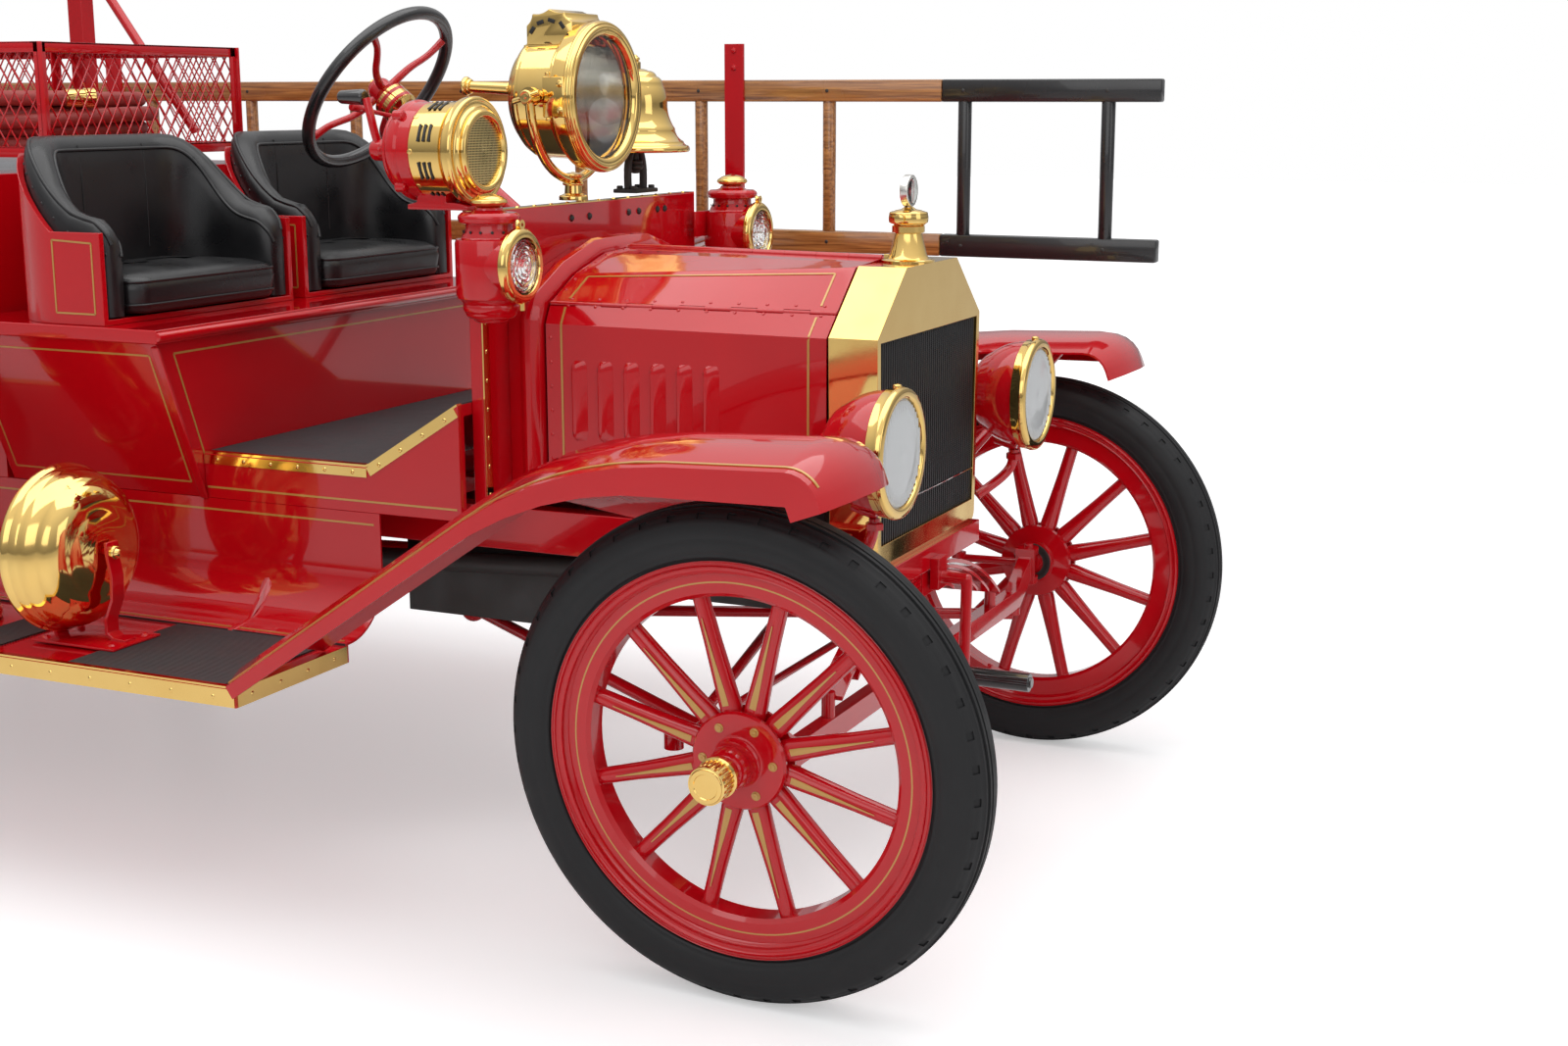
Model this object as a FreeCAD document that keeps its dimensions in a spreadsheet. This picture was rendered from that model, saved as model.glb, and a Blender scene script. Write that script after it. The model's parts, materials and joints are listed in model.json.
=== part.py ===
"""Brass-era chemical and hose fire engine with two bucket seats, in millimetres.

+X is forward, +Y is the left side, +Z is up. Every X below is measured from the
front axle, and `place` shifts it so that the origin is under the middle of the
vehicle, on the ground.
"""
import FreeCAD, Part
import Sketcher
import math
import os

Vector = FreeCAD.Vector
doc = FreeCAD.newDocument("FireEngine")
sheet = doc.addObject("Spreadsheet::Sheet", "Sizes")


# Sizes that know their value and their formula in the sheet
class Size:
    def __init__(self, value, text=None):
        self.value = float(value)
        self.text = text or "%.6f" % float(value)

    def __float__(self):
        return self.value

    def __add__(self, other):
        return join_sizes(self, other, "+", self.value + float(other))

    def __radd__(self, other):
        return join_sizes(other, self, "+", float(other) + self.value)

    def __sub__(self, other):
        return join_sizes(self, other, "-", self.value - float(other))

    def __rsub__(self, other):
        return join_sizes(other, self, "-", float(other) - self.value)

    def __mul__(self, other):
        return join_sizes(self, other, "*", self.value * float(other))

    def __rmul__(self, other):
        return join_sizes(other, self, "*", float(other) * self.value)

    def __truediv__(self, other):
        return join_sizes(self, other, "/", self.value / float(other))

    def cos(self):
        return Size(math.cos(math.radians(self.value)), "cos(%s * 1 deg)" % self.text)

    def sin(self):
        return Size(math.sin(math.radians(self.value)), "sin(%s * 1 deg)" % self.text)

    def __neg__(self):
        return Size(-self.value, "(0 - %s)" % self.text)


def as_size(amount):
    return amount if isinstance(amount, Size) else Size(amount)


def join_sizes(a, b, sign, value):
    return Size(value, "(%s %s %s)" % (as_size(a).text, sign, as_size(b).text))


def given(alias, value):
    """Write one driving size into the sheet and return it."""
    given.row += 1
    cell = "A%d" % given.row
    sheet.set(cell, str(value))
    sheet.setAlias(cell, alias)
    return Size(value, "Sizes.%s" % alias)


given.row = 0

# Chassis
wheelbase = given("wheelbase", 2540)
track = given("track", 1422)
rear_overhang = given("rear_overhang", 620)
rail_half_gauge = given("rail_half_gauge", 275)
rail_width = given("rail_width", 38)
rail_depth = given("rail_depth", 76)
frame_top = given("frame_top", 620)
rail_front = given("rail_front", -20)
crossmember_nose = given("crossmember_nose", 30)
spring_seat = given("spring_seat", 516)
rear_crossmember_back = given("rear_crossmember_back", 40)
crossmember_length = given("crossmember_length", 90)

# Wheels and tyres
tyre_radius = given("tyre_radius", 381)
tyre_section = given("tyre_section", 89)
rim_radius = given("rim_radius", 302)
rim_width = given("rim_width", 78)
rim_thickness = given("rim_thickness", 8)
felloe_depth = given("felloe_depth", 38)
felloe_width = given("felloe_width", 46)
spoke_count = 12
spoke_root_radius = given("spoke_root_radius", 17)
spoke_tip_radius = given("spoke_tip_radius", 12.5)
hub_flange_radius = given("hub_flange_radius", 72)
hub_flange_thickness = given("hub_flange_thickness", 9)
hub_barrel_radius = given("hub_barrel_radius", 34)
hub_cap_radius = given("hub_cap_radius", 29)
hub_reach = given("hub_reach", 127)
hub_inner_reach = given("hub_inner_reach", 42)
hub_bore_radius = given("hub_bore_radius", 16)
axle_gap = given("axle_gap", 0.4)
front_camber = given("front_camber", 3)

# Engine
engine_front = given("engine_front", -120)
engine_back = given("engine_back", -590)
engine_half_width = given("engine_half_width", 135)
engine_top = given("engine_top", 880)
pan_half_width = given("pan_half_width", 150)
pan_bottom = given("pan_bottom", 372)
pan_back = given("pan_back", -965)

# Front axle and steering
kingpin_inset = given("kingpin_inset", 66)
kingpin_radius = given("kingpin_radius", 9)
kingpin_gap = given("kingpin_gap", 0.3)
yoke_half_height = given("yoke_half_height", 36)
knuckle_half_height = given("knuckle_half_height", 22)
axle_beam_drop = given("axle_beam_drop", 50)
axle_beam_height = given("axle_beam_height", 38)
axle_beam_width = given("axle_beam_width", 26)
steering_arm_length = given("steering_arm_length", 150)
tie_rod_radius = given("tie_rod_radius", 7)
drag_link_radius = given("drag_link_radius", 9)
link_eye_radius = given("link_eye_radius", 15)
column_rake = given("column_rake", 37.4)
column_radius = given("column_radius", 16)
steering_wheel_x = given("steering_wheel_x", -1258)
steering_wheel_z = given("steering_wheel_z", 1335)
steering_wheel_radius = given("steering_wheel_radius", 184)
steering_rim_radius = given("steering_rim_radius", 13)
column_foot_x = given("column_foot_x", -215)
column_y = given("column_y", 232)
shaft_radius = given("shaft_radius", 9)
link_pin_radius = given("link_pin_radius", 6)
link_eye_height = given("link_eye_height", 18)
shaft_seat = given("shaft_seat", 50)
drag_link_inset = given("drag_link_inset", 105)
arm_ball_radius = given("arm_ball_radius", 10)
link_cup_radius = given("link_cup_radius", 10)
link_cup_length = given("link_cup_length", 16)
link_cup_gap = given("link_cup_gap", 2)

# Radiator and hood
radiator_face = given("radiator_face", 19)
radiator_depth = given("radiator_depth", 86)
shell_bottom = given("shell_bottom", 556)
shell_shoulder = given("shell_shoulder", 938)
shell_top = given("shell_top", 1044)
shell_half_bottom = given("shell_half_bottom", 240)
shell_half_width = given("shell_half_width", 250)
shell_half_top = given("shell_half_top", 123)
shell_frame = given("shell_frame", 14)
shell_foot = given("shell_foot", 40)
shell_corner = given("shell_corner", 18)
neck_height = given("neck_height", 62)
neck_radius = given("neck_radius", 27)
meter_radius = given("meter_radius", 20)
hood_back_x = given("hood_back_x", -560)
hood_peak = given("hood_peak", 4)
hinge_drop = given("hinge_drop", 1)
hood_front_crest = given("hood_front_crest", 60)
hood_front_hinge = given("hood_front_hinge", 203)
hood_front_hinge_z = given("hood_front_hinge_z", 973)
hood_back_top = given("hood_back_top", 1053)
hood_back_crest = given("hood_back_crest", 95)
hood_back_crown = given("hood_back_crown", 202)
hood_back_crown_z = given("hood_back_crown_z", 1021)
hood_back_hinge = given("hood_back_hinge", 288)
hood_back_hinge_z = given("hood_back_hinge_z", 979)
hood_back_half = given("hood_back_half", 306)
hood_back_shoulder = given("hood_back_shoulder", 945)
hood_side_bottom = given("hood_side_bottom", 650)
hood_skin = given("hood_skin", 4)
hood_gap = given("hood_gap", 5)
hinge_radius = given("hinge_radius", 5)
hinge_knuckles = 8
side_pin_radius = given("side_pin_radius", 2)
side_knuckles = 11
cowl_rise = given("cowl_rise", 24)
cowl_wall = given("cowl_wall", 6)

# Dash, floor and seats
dash_x = given("dash_x", -642)
dash_thickness = given("dash_thickness", 24)
dash_half_width = given("dash_half_width", 395)
dash_top = given("dash_top", 1133)
floor_height = given("floor_height", 700)
floor_thickness = given("floor_thickness", 20)
floor_front_x = given("floor_front_x", -841)
toe_board_rise = given("toe_board_rise", 118)
seat_box_front_x = given("seat_box_front_x", -1190)
seat_box_back_x = given("seat_box_back_x", -1640)
seat_box_half_foot = given("seat_box_half_foot", 437)
seat_box_half_top = given("seat_box_half_top", 545)
seat_board_height = given("seat_board_height", 930)
seat_board_thickness = given("seat_board_thickness", 24)
panel_thickness = given("panel_thickness", 18)
seat_half_spacing = given("seat_half_spacing", 281)
seat_half_width = given("seat_half_width", 262)
seat_front_x = given("seat_front_x", -1300)
seat_back_x = given("seat_back_x", -1560)
seat_arm_height = given("seat_arm_height", 1120)
seat_back_height = given("seat_back_height", 1250)
seat_wall = given("seat_wall", 12)
padding = given("padding", 52)
cushion_height = given("cushion_height", 74)
soft_gap = given("soft_gap", 0.4)

# Fenders, running boards and aprons
fender_outer = given("fender_outer", 838)
fender_inner = given("fender_inner", 590)
fender_crown = given("fender_crown", 30)
fender_skin = given("fender_skin", 4)
fender_lip = given("fender_lip", 22)
fender_nose_lip = given("fender_nose_lip", 47)
fender_tail_x = given("fender_tail_x", -835)
fender_rake = given("fender_rake", 34)
fender_run = given("fender_run", 535)
fender_bend_radius = given("fender_bend_radius", 620)
fender_nose_x = given("fender_nose_x", 167)
fender_nose_radius = given("fender_nose_radius", 50)
fender_nose_drop = given("fender_nose_drop", 20)
rear_fender_radius = given("rear_fender_radius", 450)
rear_fender_tail = 188
board_height = given("board_height", 414)
board_thickness = given("board_thickness", 30)
board_inner = given("board_inner", 540)
board_front_x = given("board_front_x", -820)
board_back_x = given("board_back_x", -2150)
mat_thickness = given("mat_thickness", 3)
mat_inset = given("mat_inset", 30)
mat_border = given("mat_border", 12)

# Rear body, basket and ladder
bed_half_width = given("bed_half_width", 437)
bed_front_x = given("bed_front_x", -1655)
bed_height = given("bed_height", 1180)
basket_front_x = given("basket_front_x", -1653)
basket_back_x = given("basket_back_x", -2640)
basket_half_width = given("basket_half_width", 285)
basket_bottom = given("basket_bottom", 1206)
basket_top = given("basket_top", 1420)
basket_angle = given("basket_angle", 20)
hoop_x = given("hoop_x", -2086)
hoop_top = given("hoop_top", 1700)
hoop_tube = given("hoop_tube", 19)
ladder_y = given("ladder_y", 820)
ladder_front_x = given("ladder_front_x", 200)
ladder_top = given("ladder_top", 1354)
ladder_bottom = given("ladder_bottom", 990)
ladder_rail_depth = given("ladder_rail_depth", 46)
ladder_rail_width = given("ladder_rail_width", 30)
rung_pitch = given("rung_pitch", 305)
rung_radius = given("rung_radius", 14)
rung_count = 11
first_rung_back = given("first_rung_back", 110)
front_holder_x = given("front_holder_x", -735)
back_holder_x = given("back_holder_x", -2450)
hose_radius = given("hose_radius", 15)
crank_z = given("crank_z", 500)
crank_reach = given("crank_reach", 90)
crank_throw = given("crank_throw", 165)
crank_lean = given("crank_lean", 25)

# Lamps, horn, bell and gong
headlamp_x = given("headlamp_x", 101)
headlamp_y = given("headlamp_y", 353)
headlamp_z = given("headlamp_z", 777)
headlamp_radius = given("headlamp_radius", 103)
headlamp_iron = given("headlamp_iron", 8)
cowl_lamp_x = given("cowl_lamp_x", -513)
cowl_lamp_y = given("cowl_lamp_y", 451)
cowl_lamp_z = given("cowl_lamp_z", 1053)
searchlight_y = given("searchlight_y", -60)
searchlight_z = given("searchlight_z", 1318)
searchlight_radius = given("searchlight_radius", 129)
siren_y = given("siren_y", -406)
siren_front_x = given("siren_front_x", -607)
siren_z = given("siren_z", 1232)
bell_x = given("bell_x", -684)
bell_y = given("bell_y", 250)
bell_lip_z = given("bell_lip_z", 1215)
bell_radius = given("bell_radius", 105)
bell_height = given("bell_height", 165)
gong_x = given("gong_x", -1200)
gong_y = given("gong_y", -690)
gong_radius = given("gong_radius", 142)
gong_centre_height = given("gong_centre_height", 158)
extinguisher_x = given("extinguisher_x", -1560)
extinguisher_radius = given("extinguisher_radius", 88)
extinguisher_height = given("extinguisher_height", 480)

doc.recompute()

front_axle_x = (wheelbase + rear_overhang - tyre_radius) / 2
tyre_tube = tyre_section / 2
front_hub_z = (tyre_radius - tyre_tube) * front_camber.cos() + tyre_tube
kingpin_y = track / 2 - kingpin_inset * front_camber.cos()
kingpin_z = front_hub_z + kingpin_inset * front_camber.sin()
LOCAL = -front_axle_x
FORWARD = Vector(1, 0, 0)
LEFT = Vector(0, 1, 0)
UP = Vector(0, 0, 1)
pieces = {}


# Placing and binding
def vector(x, y, z):
    return Vector(float(x), float(y), float(z))


def world(x, y, z):
    """A point given from the front axle, as a point of the finished part."""
    return vector(front_axle_x + x, y, z)


def bind(thing, prop, amount):
    thing.setExpression(prop, as_size(amount).text)


def place(thing, x, y, z, turn=None):
    thing.Placement = FreeCAD.Placement(Vector(), turn or FreeCAD.Rotation())
    bind(thing, "Placement.Base.x", front_axle_x + x)
    bind(thing, "Placement.Base.y", y)
    bind(thing, "Placement.Base.z", z)
    return thing


def point_to(direction, start=UP):
    return FreeCAD.Rotation(start, direction)


# Primitive solids
def box(x0, x1, y0, y1, z0, z1):
    solid = doc.addObject("Part::Box", "Block")
    bind(solid, "Length", as_size(x1) - x0)
    bind(solid, "Width", as_size(y1) - y0)
    bind(solid, "Height", as_size(z1) - z0)
    return place(solid, x0, y0, z0)


def cylinder(x, y, z, direction, radius, length, back=0):
    """A round bar from (x, y, z) along a direction, or centred with back=0.5."""
    solid = doc.addObject("Part::Cylinder", "Bar")
    bind(solid, "Radius", radius)
    bind(solid, "Height", length)
    shift = as_size(length) * back
    return place(solid, x - shift * direction.x, y - shift * direction.y,
                 z - shift * direction.z, point_to(direction))


def rod(start, end, radius):
    """A round bar between two points, each given as (x, y, z)."""
    direction = vector(*end) - vector(*start)
    length = direction.Length
    direction.normalize()
    solid = doc.addObject("Part::Cylinder", "Rod")
    bind(solid, "Radius", radius)
    solid.Height = length
    return place(solid, start[0], start[1], start[2], point_to(direction))


def cone(x, y, z, direction, radius1, radius2, length):
    solid = doc.addObject("Part::Cone", "Cone")
    bind(solid, "Radius1", radius1)
    bind(solid, "Radius2", radius2)
    bind(solid, "Height", length)
    return place(solid, x, y, z, point_to(direction))


def ball(x, y, z, radius):
    solid = doc.addObject("Part::Sphere", "Ball")
    bind(solid, "Radius", radius)
    return place(solid, x, y, z)


def ring(x, y, z, direction, radius, tube):
    solid = doc.addObject("Part::Torus", "Ring")
    bind(solid, "Radius1", radius)
    bind(solid, "Radius2", tube)
    return place(solid, x, y, z, point_to(direction))


def fuse(*parts):
    joined = doc.addObject("Part::MultiFuse", "Joined")
    joined.Shapes = list(parts)
    return joined


def cut(base, *tools):
    for tool in tools:
        pocket = doc.addObject("Part::Cut", "Opened")
        pocket.Base = base
        pocket.Tool = tool
        base = pocket
    return base


def mirrored(thing):
    copy = doc.addObject("Part::Mirroring", "Mirrored")
    copy.Source = thing
    copy.Normal = LEFT
    return copy


def shaped(shape):
    """A piece whose form neither a body nor a primitive fits."""
    solid = doc.addObject("Part::Feature", "Form")
    solid.Shape = shape
    return solid


# Sketched bodies
def bulge_centre(a, b, radius):
    """Centre of the arc from a to b; a positive radius turns to the left."""
    chord = b - a
    middle = (a + b) * 0.5
    half = chord.Length / 2
    reach = math.sqrt(max(radius * radius - half * half, 0))
    side = Vector(-chord.y, chord.x, 0)
    side.normalize()
    return middle + side * (reach if radius > 0 else -reach)


def sketch_outline(body, role, corners):
    """A closed outline of (x, y) corners; (x, y, radius) arrives on an arc."""
    plane = [o for o in body.Origin.OriginFeatures if o.Role == role][0]
    sketch = body.newObject("Sketcher::SketchObject", "Outline")
    sketch.AttachmentSupport = [(plane, "")]
    sketch.MapMode = "FlatFace"
    count = len(corners)
    heads = []
    tails = []
    for i, corner in enumerate(corners):
        goal = corners[(i + 1) % count]
        a = vector(corner[0], corner[1], 0)
        b = vector(goal[0], goal[1], 0)
        if len(goal) == 2:
            sketch.addGeometry(Part.LineSegment(a, b), False)
            heads.append(1)
            tails.append(2)
            continue
        radius = float(goal[2])
        centre = bulge_centre(a, b, radius)
        first, last = (a, b) if radius > 0 else (b, a)
        start = math.atan2(first.y - centre.y, first.x - centre.x)
        stop = math.atan2(last.y - centre.y, last.x - centre.x)
        if stop <= start:
            stop += 2 * math.pi
        circle = Part.Circle(centre, UP, abs(radius))
        sketch.addGeometry(Part.ArcOfCircle(circle, start, stop), False)
        heads.append(1 if radius > 0 else 2)
        tails.append(2 if radius > 0 else 1)
    for i in range(count):
        after = (i + 1) % count
        sketch.addConstraint(
            Sketcher.Constraint("Coincident", i, tails[i], after, heads[after]))
    for i, corner in enumerate(corners):
        for kind, amount in (("DistanceX", corner[0]), ("DistanceY", corner[1])):
            index = sketch.addConstraint(
                Sketcher.Constraint(kind, -1, 1, i, heads[i], float(amount)))
            bind(sketch, "Constraints[%d]" % index, amount)
        if len(corner) == 3:
            index = sketch.addConstraint(
                Sketcher.Constraint("Radius", i - 1 if i else count - 1,
                                    abs(float(corner[2]))))
            radius = corner[2] if float(corner[2]) > 0 else -as_size(corner[2])
            bind(sketch, "Constraints[%d]" % index, radius)
    return sketch


def padded(role, corners, thickness, x=0, y=0, z=0):
    """A plate of an outline on XY, XZ (seen from the right) or YZ.

    It is as thick as given, half to each side of its plane.
    """
    body = doc.addObject("PartDesign::Body", "Plate")
    sketch = sketch_outline(body, role, corners)
    pad = body.newObject("PartDesign::Pad", "Pad")
    pad.Profile = sketch
    pad.Midplane = True
    bind(pad, "Length", thickness)
    return place(body, x, y, z)


def turned(corners, x, y, z, direction=FORWARD):
    """A body of revolution: corners are (distance along the axis, radius)."""
    body = doc.addObject("PartDesign::Body", "Turned")
    sketch = sketch_outline(body, "XY_Plane", corners)
    spin = body.newObject("PartDesign::Revolution", "Spin")
    spin.Profile = sketch
    spin.ReferenceAxis = (sketch, ["H_Axis"])
    spin.Angle = 360
    return place(body, x, y, z, point_to(direction, FORWARD))


def tube_along(points, radius, bend):
    """A tube along straight runs joined by tangent arcs of radius bend."""
    route = [world(*point) for point in points]
    edges = []
    here = route[0]
    for before, corner, after in zip(route, route[1:], route[2:]):
        back = (before - corner).normalize()
        on = (after - corner).normalize()
        turn = math.pi - back.getAngle(on)
        reach = float(bend) * math.tan(turn / 2)
        a = corner + back * reach
        b = corner + on * reach
        inward = (back + on).normalize()
        depth = float(bend) / math.cos(turn / 2)
        middle = corner + inward * (depth - float(bend))
        edges.append(Part.LineSegment(here, a).toShape())
        edges.append(Part.Arc(a, middle, b).toShape())
        here = b
    edges.append(Part.LineSegment(here, route[-1]).toShape())
    path = Part.Wire(edges)
    first = (route[1] - route[0]).normalize()
    circle = Part.Circle(route[0], first, float(radius)).toShape()
    return shaped(Part.Wire(path).makePipe(Part.Face(Part.Wire(circle))))


def keep(name, solid):
    """Name one finished piece."""
    solid.Label = name
    pieces[name] = solid
    return solid


def side_name(side):
    return "left" if side > 0 else "right"


def rail_blocks():
    """The space that the two frame rails take, to seat brackets on their sides."""
    inner = rail_half_gauge - rail_width / 2
    outer = rail_half_gauge + rail_width / 2
    back = -(wheelbase + rear_crossmember_back)
    return [box(back, rail_front, low, high, frame_top - rail_depth, frame_top)
            for low, high in ((inner, outer), (-outer, -inner))]


# Chassis frame
def build_frame():
    inner = rail_half_gauge - rail_width / 2
    outer = rail_half_gauge + rail_width / 2
    back = -(wheelbase + rear_crossmember_back)
    bottom = frame_top - rail_depth
    lip = 5
    web = 6
    parts = []
    for side in (1, -1):
        near, far = (inner, outer) if side > 0 else (-outer, -inner)
        rail = box(back, rail_front, near, far, bottom, frame_top)
        hollow_near, hollow_far = (near - 1, far - web) if side > 0 else (near + web, far + 1)
        parts.append(cut(rail, box(back - 1, rail_front + 1, hollow_near, hollow_far,
                                   bottom + lip, frame_top - lip)))
    half = crossmember_length / 2
    reach = outer - web
    parts.append(box(-half, rail_front, -outer, outer, spring_seat, shell_bottom))
    parts.append(box(rail_front - 1, crossmember_nose, -shell_half_bottom, shell_half_bottom,
                     spring_seat, shell_bottom))
    parts.append(box(back, back + crossmember_length, -reach, reach, spring_seat, frame_top - lip))
    keep("frame_rails", fuse(*parts))



def leaf_radius(reach, sag):
    """Radius of the arc over half a leaf."""
    half = float(reach)
    deep = max(float(sag), 1)
    return (half * half + deep * deep) / (2 * deep)


def leaf_spring(x, eye_y, eye_z, top, spacing):
    """A transverse spring: leaves under each other, the longest one on top."""
    leaves = []
    leaf_depth = 7
    for count in range(5):
        reach = eye_y - spacing * count
        upper = top - (leaf_depth + 1) * count
        rise = (top - eye_z) * (1 - 0.19 * count)
        drop = upper - rise
        bend = leaf_radius(reach, rise)
        leaves.append(padded("YZ_Plane", [
            (-reach, drop - leaf_depth), (0, upper - leaf_depth, -bend),
            (reach, drop - leaf_depth, -bend), (reach, drop), (0, upper, bend),
            (-reach, drop, bend)], 44, x=x))
    clamp = box(x - 25, x + 25, -45, 45, top - 46, top)
    return leaves + [clamp]


# Front axle: forged beam with a yoke at each end, and its spring
def build_front_axle():
    pin_y = kingpin_y
    beam_z = kingpin_z - axle_beam_drop
    bend_y = pin_y - 90
    half = axle_beam_height / 2
    eye = 20
    shoulder = 24
    end_y = pin_y - eye
    parts = [padded("YZ_Plane", [
        (-end_y, kingpin_z - shoulder), (-bend_y, beam_z - half), (bend_y, beam_z - half),
        (end_y, kingpin_z - shoulder), (end_y, kingpin_z + shoulder),
        (bend_y - 20, beam_z + half), (-(bend_y - 20), beam_z + half),
        (-end_y, kingpin_z + shoulder)], axle_beam_width)]
    for side in (1, -1):
        near = side * (pin_y - eye - 6)
        far = side * pin_y
        low, high = (near, far) if side > 0 else (far, near)
        yoke = fuse(box(-eye, eye, low, high,
                        kingpin_z - yoke_half_height, kingpin_z + yoke_half_height),
                    cylinder(0, far, kingpin_z, UP, eye, yoke_half_height * 2, 0.5))
        slot_near = side * (pin_y - eye + 2)
        slot_far = side * (pin_y + eye + 1)
        low, high = (slot_near, slot_far) if side > 0 else (slot_far, slot_near)
        slot = box(-eye - 1, eye + 1, low, high,
                   kingpin_z - knuckle_half_height - 1, kingpin_z + knuckle_half_height + 1)
        parts.append(cut(yoke, slot))
        parts.append(cylinder(0, side * pin_y, kingpin_z, UP, kingpin_radius,
                              yoke_half_height * 2 + 14, 0.5))
    eye_y = 395
    eye_z = beam_z + half + 34
    spring = leaf_spring(0, eye_y, eye_z, spring_seat, 66)
    for side in (1, -1):
        spring.append(rod((0, side * (eye_y + 6), beam_z + half),
                          (0, side * (eye_y + 6), eye_z + 8), 11))
    keep("front_axle", fuse(*(parts + spring)))


def build_radius_rods():
    pin_y = kingpin_y
    beam_bottom = kingpin_z - axle_beam_drop - axle_beam_height / 2
    z = beam_bottom - 13
    ball_z = pan_bottom - 30
    parts = [ball(-920, 0, ball_z, 24), cylinder(-920, 0, ball_z, UP, 20, 30)]
    for side in (1, -1):
        parts.append(rod((0, side * (pin_y - 100), z), (-905, side * 6, ball_z), 11))
        parts.append(cylinder(0, side * (pin_y - 100), z, UP, 15, 13))
    keep("front_radius_rods", fuse(*parts))


# Rear axle with its differential, spring, drive tube and rods
def build_rear_axle():
    back = -wheelbase
    tube = 30
    parts = [cylinder(back, 0, tyre_radius, LEFT, tube, track - 150, 0.5),
             turned([(-75, 0), (-75, 60), (-45, 128, -100), (45, 128), (75, 60, -100), (75, 0)],
                    back, 0, tyre_radius, LEFT)]
    for side in (1, -1):
        parts.append(cylinder(back, side * (track / 2 - 84), tyre_radius, LEFT, 102, 44, 0.5))
        parts.append(cylinder(back, side * (track / 2 - 30), tyre_radius, LEFT,
                              hub_bore_radius - axle_gap, 160, 0.5))
    eye_y = 560
    eye_z = tyre_radius + tube + 32
    spring = leaf_spring(back, eye_y, eye_z, spring_seat, 90)
    for side in (1, -1):
        spring.append(rod((back, side * (eye_y + 6), tyre_radius + tube - 1),
                          (back, side * (eye_y + 6), eye_z + 8), 12))
    keep("rear_axle", fuse(*(parts + spring)))
    start = back + 129
    parts = [rod((start, 0, tyre_radius), (-985, 0, 432), 34),
             cone(start, 0, tyre_radius, FORWARD, 62, 36, 90)]
    for side in (1, -1):
        parts.append(rod((back + tube + 11, side * (track / 2 - 124), tyre_radius),
                         (-1130, side * 20, 424), 10))
    keep("drive_tube", fuse(*parts))


# Engine as one plain block with its pan, and the exhaust
def build_engine():
    half = engine_half_width
    inside = rail_half_gauge - rail_width / 2
    shoulder = engine_back + 30
    parts = [box(engine_back, engine_front, -half, half, 500, engine_top),
             box(shoulder, engine_front + 15, -half + 20, half - 20, 440, 505),
             box(pan_back, shoulder, -pan_half_width, pan_half_width, pan_bottom, 560),
             box(engine_back - 30, engine_back + 15, -inside, inside, 560, 590)]
    keep("engine_block", fuse(*parts))
    side_y = -(half + 40)
    low_y = -(pan_half_width + 40)
    route = [(-300, side_y, 700), (-400, side_y - 6, 570), (-520, low_y, 500),
             (-1120, low_y + 8, 470), (-1660, -160, 470)]
    pipe = tube_along(route, 19, 60)
    muffler = cylinder(-2080, -160, 470, FORWARD, 62, 440)
    tail = cylinder(-2240, -160, 470, FORWARD, 17, 200)
    hangers = [box(-2030, -2000, -166, -154, 520, frame_top),
               box(-1740, -1710, -166, -154, 520, frame_top)]
    flange = box(-330, -270, side_y - 5, -half, 690, 720)
    keep("exhaust", fuse(pipe, muffler, tail, flange, *hangers))


# Radiator: brass shell, core and filler neck with its meter
def build_radiator():
    middle = radiator_face - radiator_depth / 2
    corner = shell_corner
    outer = [(-(shell_half_bottom - corner), shell_bottom, corner),
             (shell_half_bottom - corner, shell_bottom),
             (shell_half_bottom, shell_bottom + corner, corner),
             (shell_half_width, shell_shoulder), (shell_half_top, shell_top),
             (-shell_half_top, shell_top), (-shell_half_width, shell_shoulder),
             (-shell_half_bottom, shell_bottom + corner)]
    frame = shell_frame
    opening = [(-(shell_half_bottom - frame), shell_bottom + shell_foot),
               (shell_half_bottom - frame, shell_bottom + shell_foot),
               (shell_half_width - frame, shell_shoulder - 7),
               (-(shell_half_width - frame), shell_shoulder - 7)]
    shell = cut(padded("YZ_Plane", outer, radiator_depth, x=middle),
                padded("YZ_Plane", opening, radiator_depth + 2, x=middle))
    hinge_seat = box(radiator_face - radiator_depth, radiator_face - radiator_depth + 9, -9, 9,
                     shell_top - 6, shell_top + hood_peak + 8)
    hinge_hole = rod(hinge_point(0.01), hinge_point(-0.02), hinge_radius)
    keep("radiator_shell", cut(fuse(shell, hinge_seat), hinge_hole))
    keep("radiator_core", padded("YZ_Plane", opening, radiator_depth - 12, x=middle))
    neck = turned([(0, 0), (0, 31), (8, 31), (14, neck_radius), (34, neck_radius), (36, 33),
                   (46, 33), (50, 28), (neck_height, 20, 30), (neck_height + 6, 7),
                   (neck_height + 38, 5), (neck_height + 38, 0)],
                  radiator_face - 45, 0, shell_top, UP)
    meter = cylinder(radiator_face - 45, 0, shell_top + neck_height + 52, FORWARD,
                     meter_radius, 10, 0.5)
    keep("radiator_cap", fuse(neck, meter))


# Hood in two halves that hinge on the centre line
def hood_stations():
    """(x, corners) of the hood's front and back, from the ridge down to the bottom."""
    front = radiator_face - radiator_depth - hood_gap
    side = shell_half_width - 4
    ridge = hinge_radius + 1
    return [(front, [(ridge, shell_top + hood_peak), (hood_front_crest, shell_top + 1),
                     (shell_half_top, shell_top - 3), (hood_front_hinge, hood_front_hinge_z),
                     (side, shell_shoulder - 2), (side, hood_side_bottom)]),
            (hood_back_x, [(ridge, hood_back_top), (hood_back_crest, hood_back_top - 3),
                           (hood_back_crown, hood_back_crown_z),
                           (hood_back_hinge, hood_back_hinge_z),
                           (hood_back_half, hood_back_shoulder),
                           (hood_back_half, hood_side_bottom)])]


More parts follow.
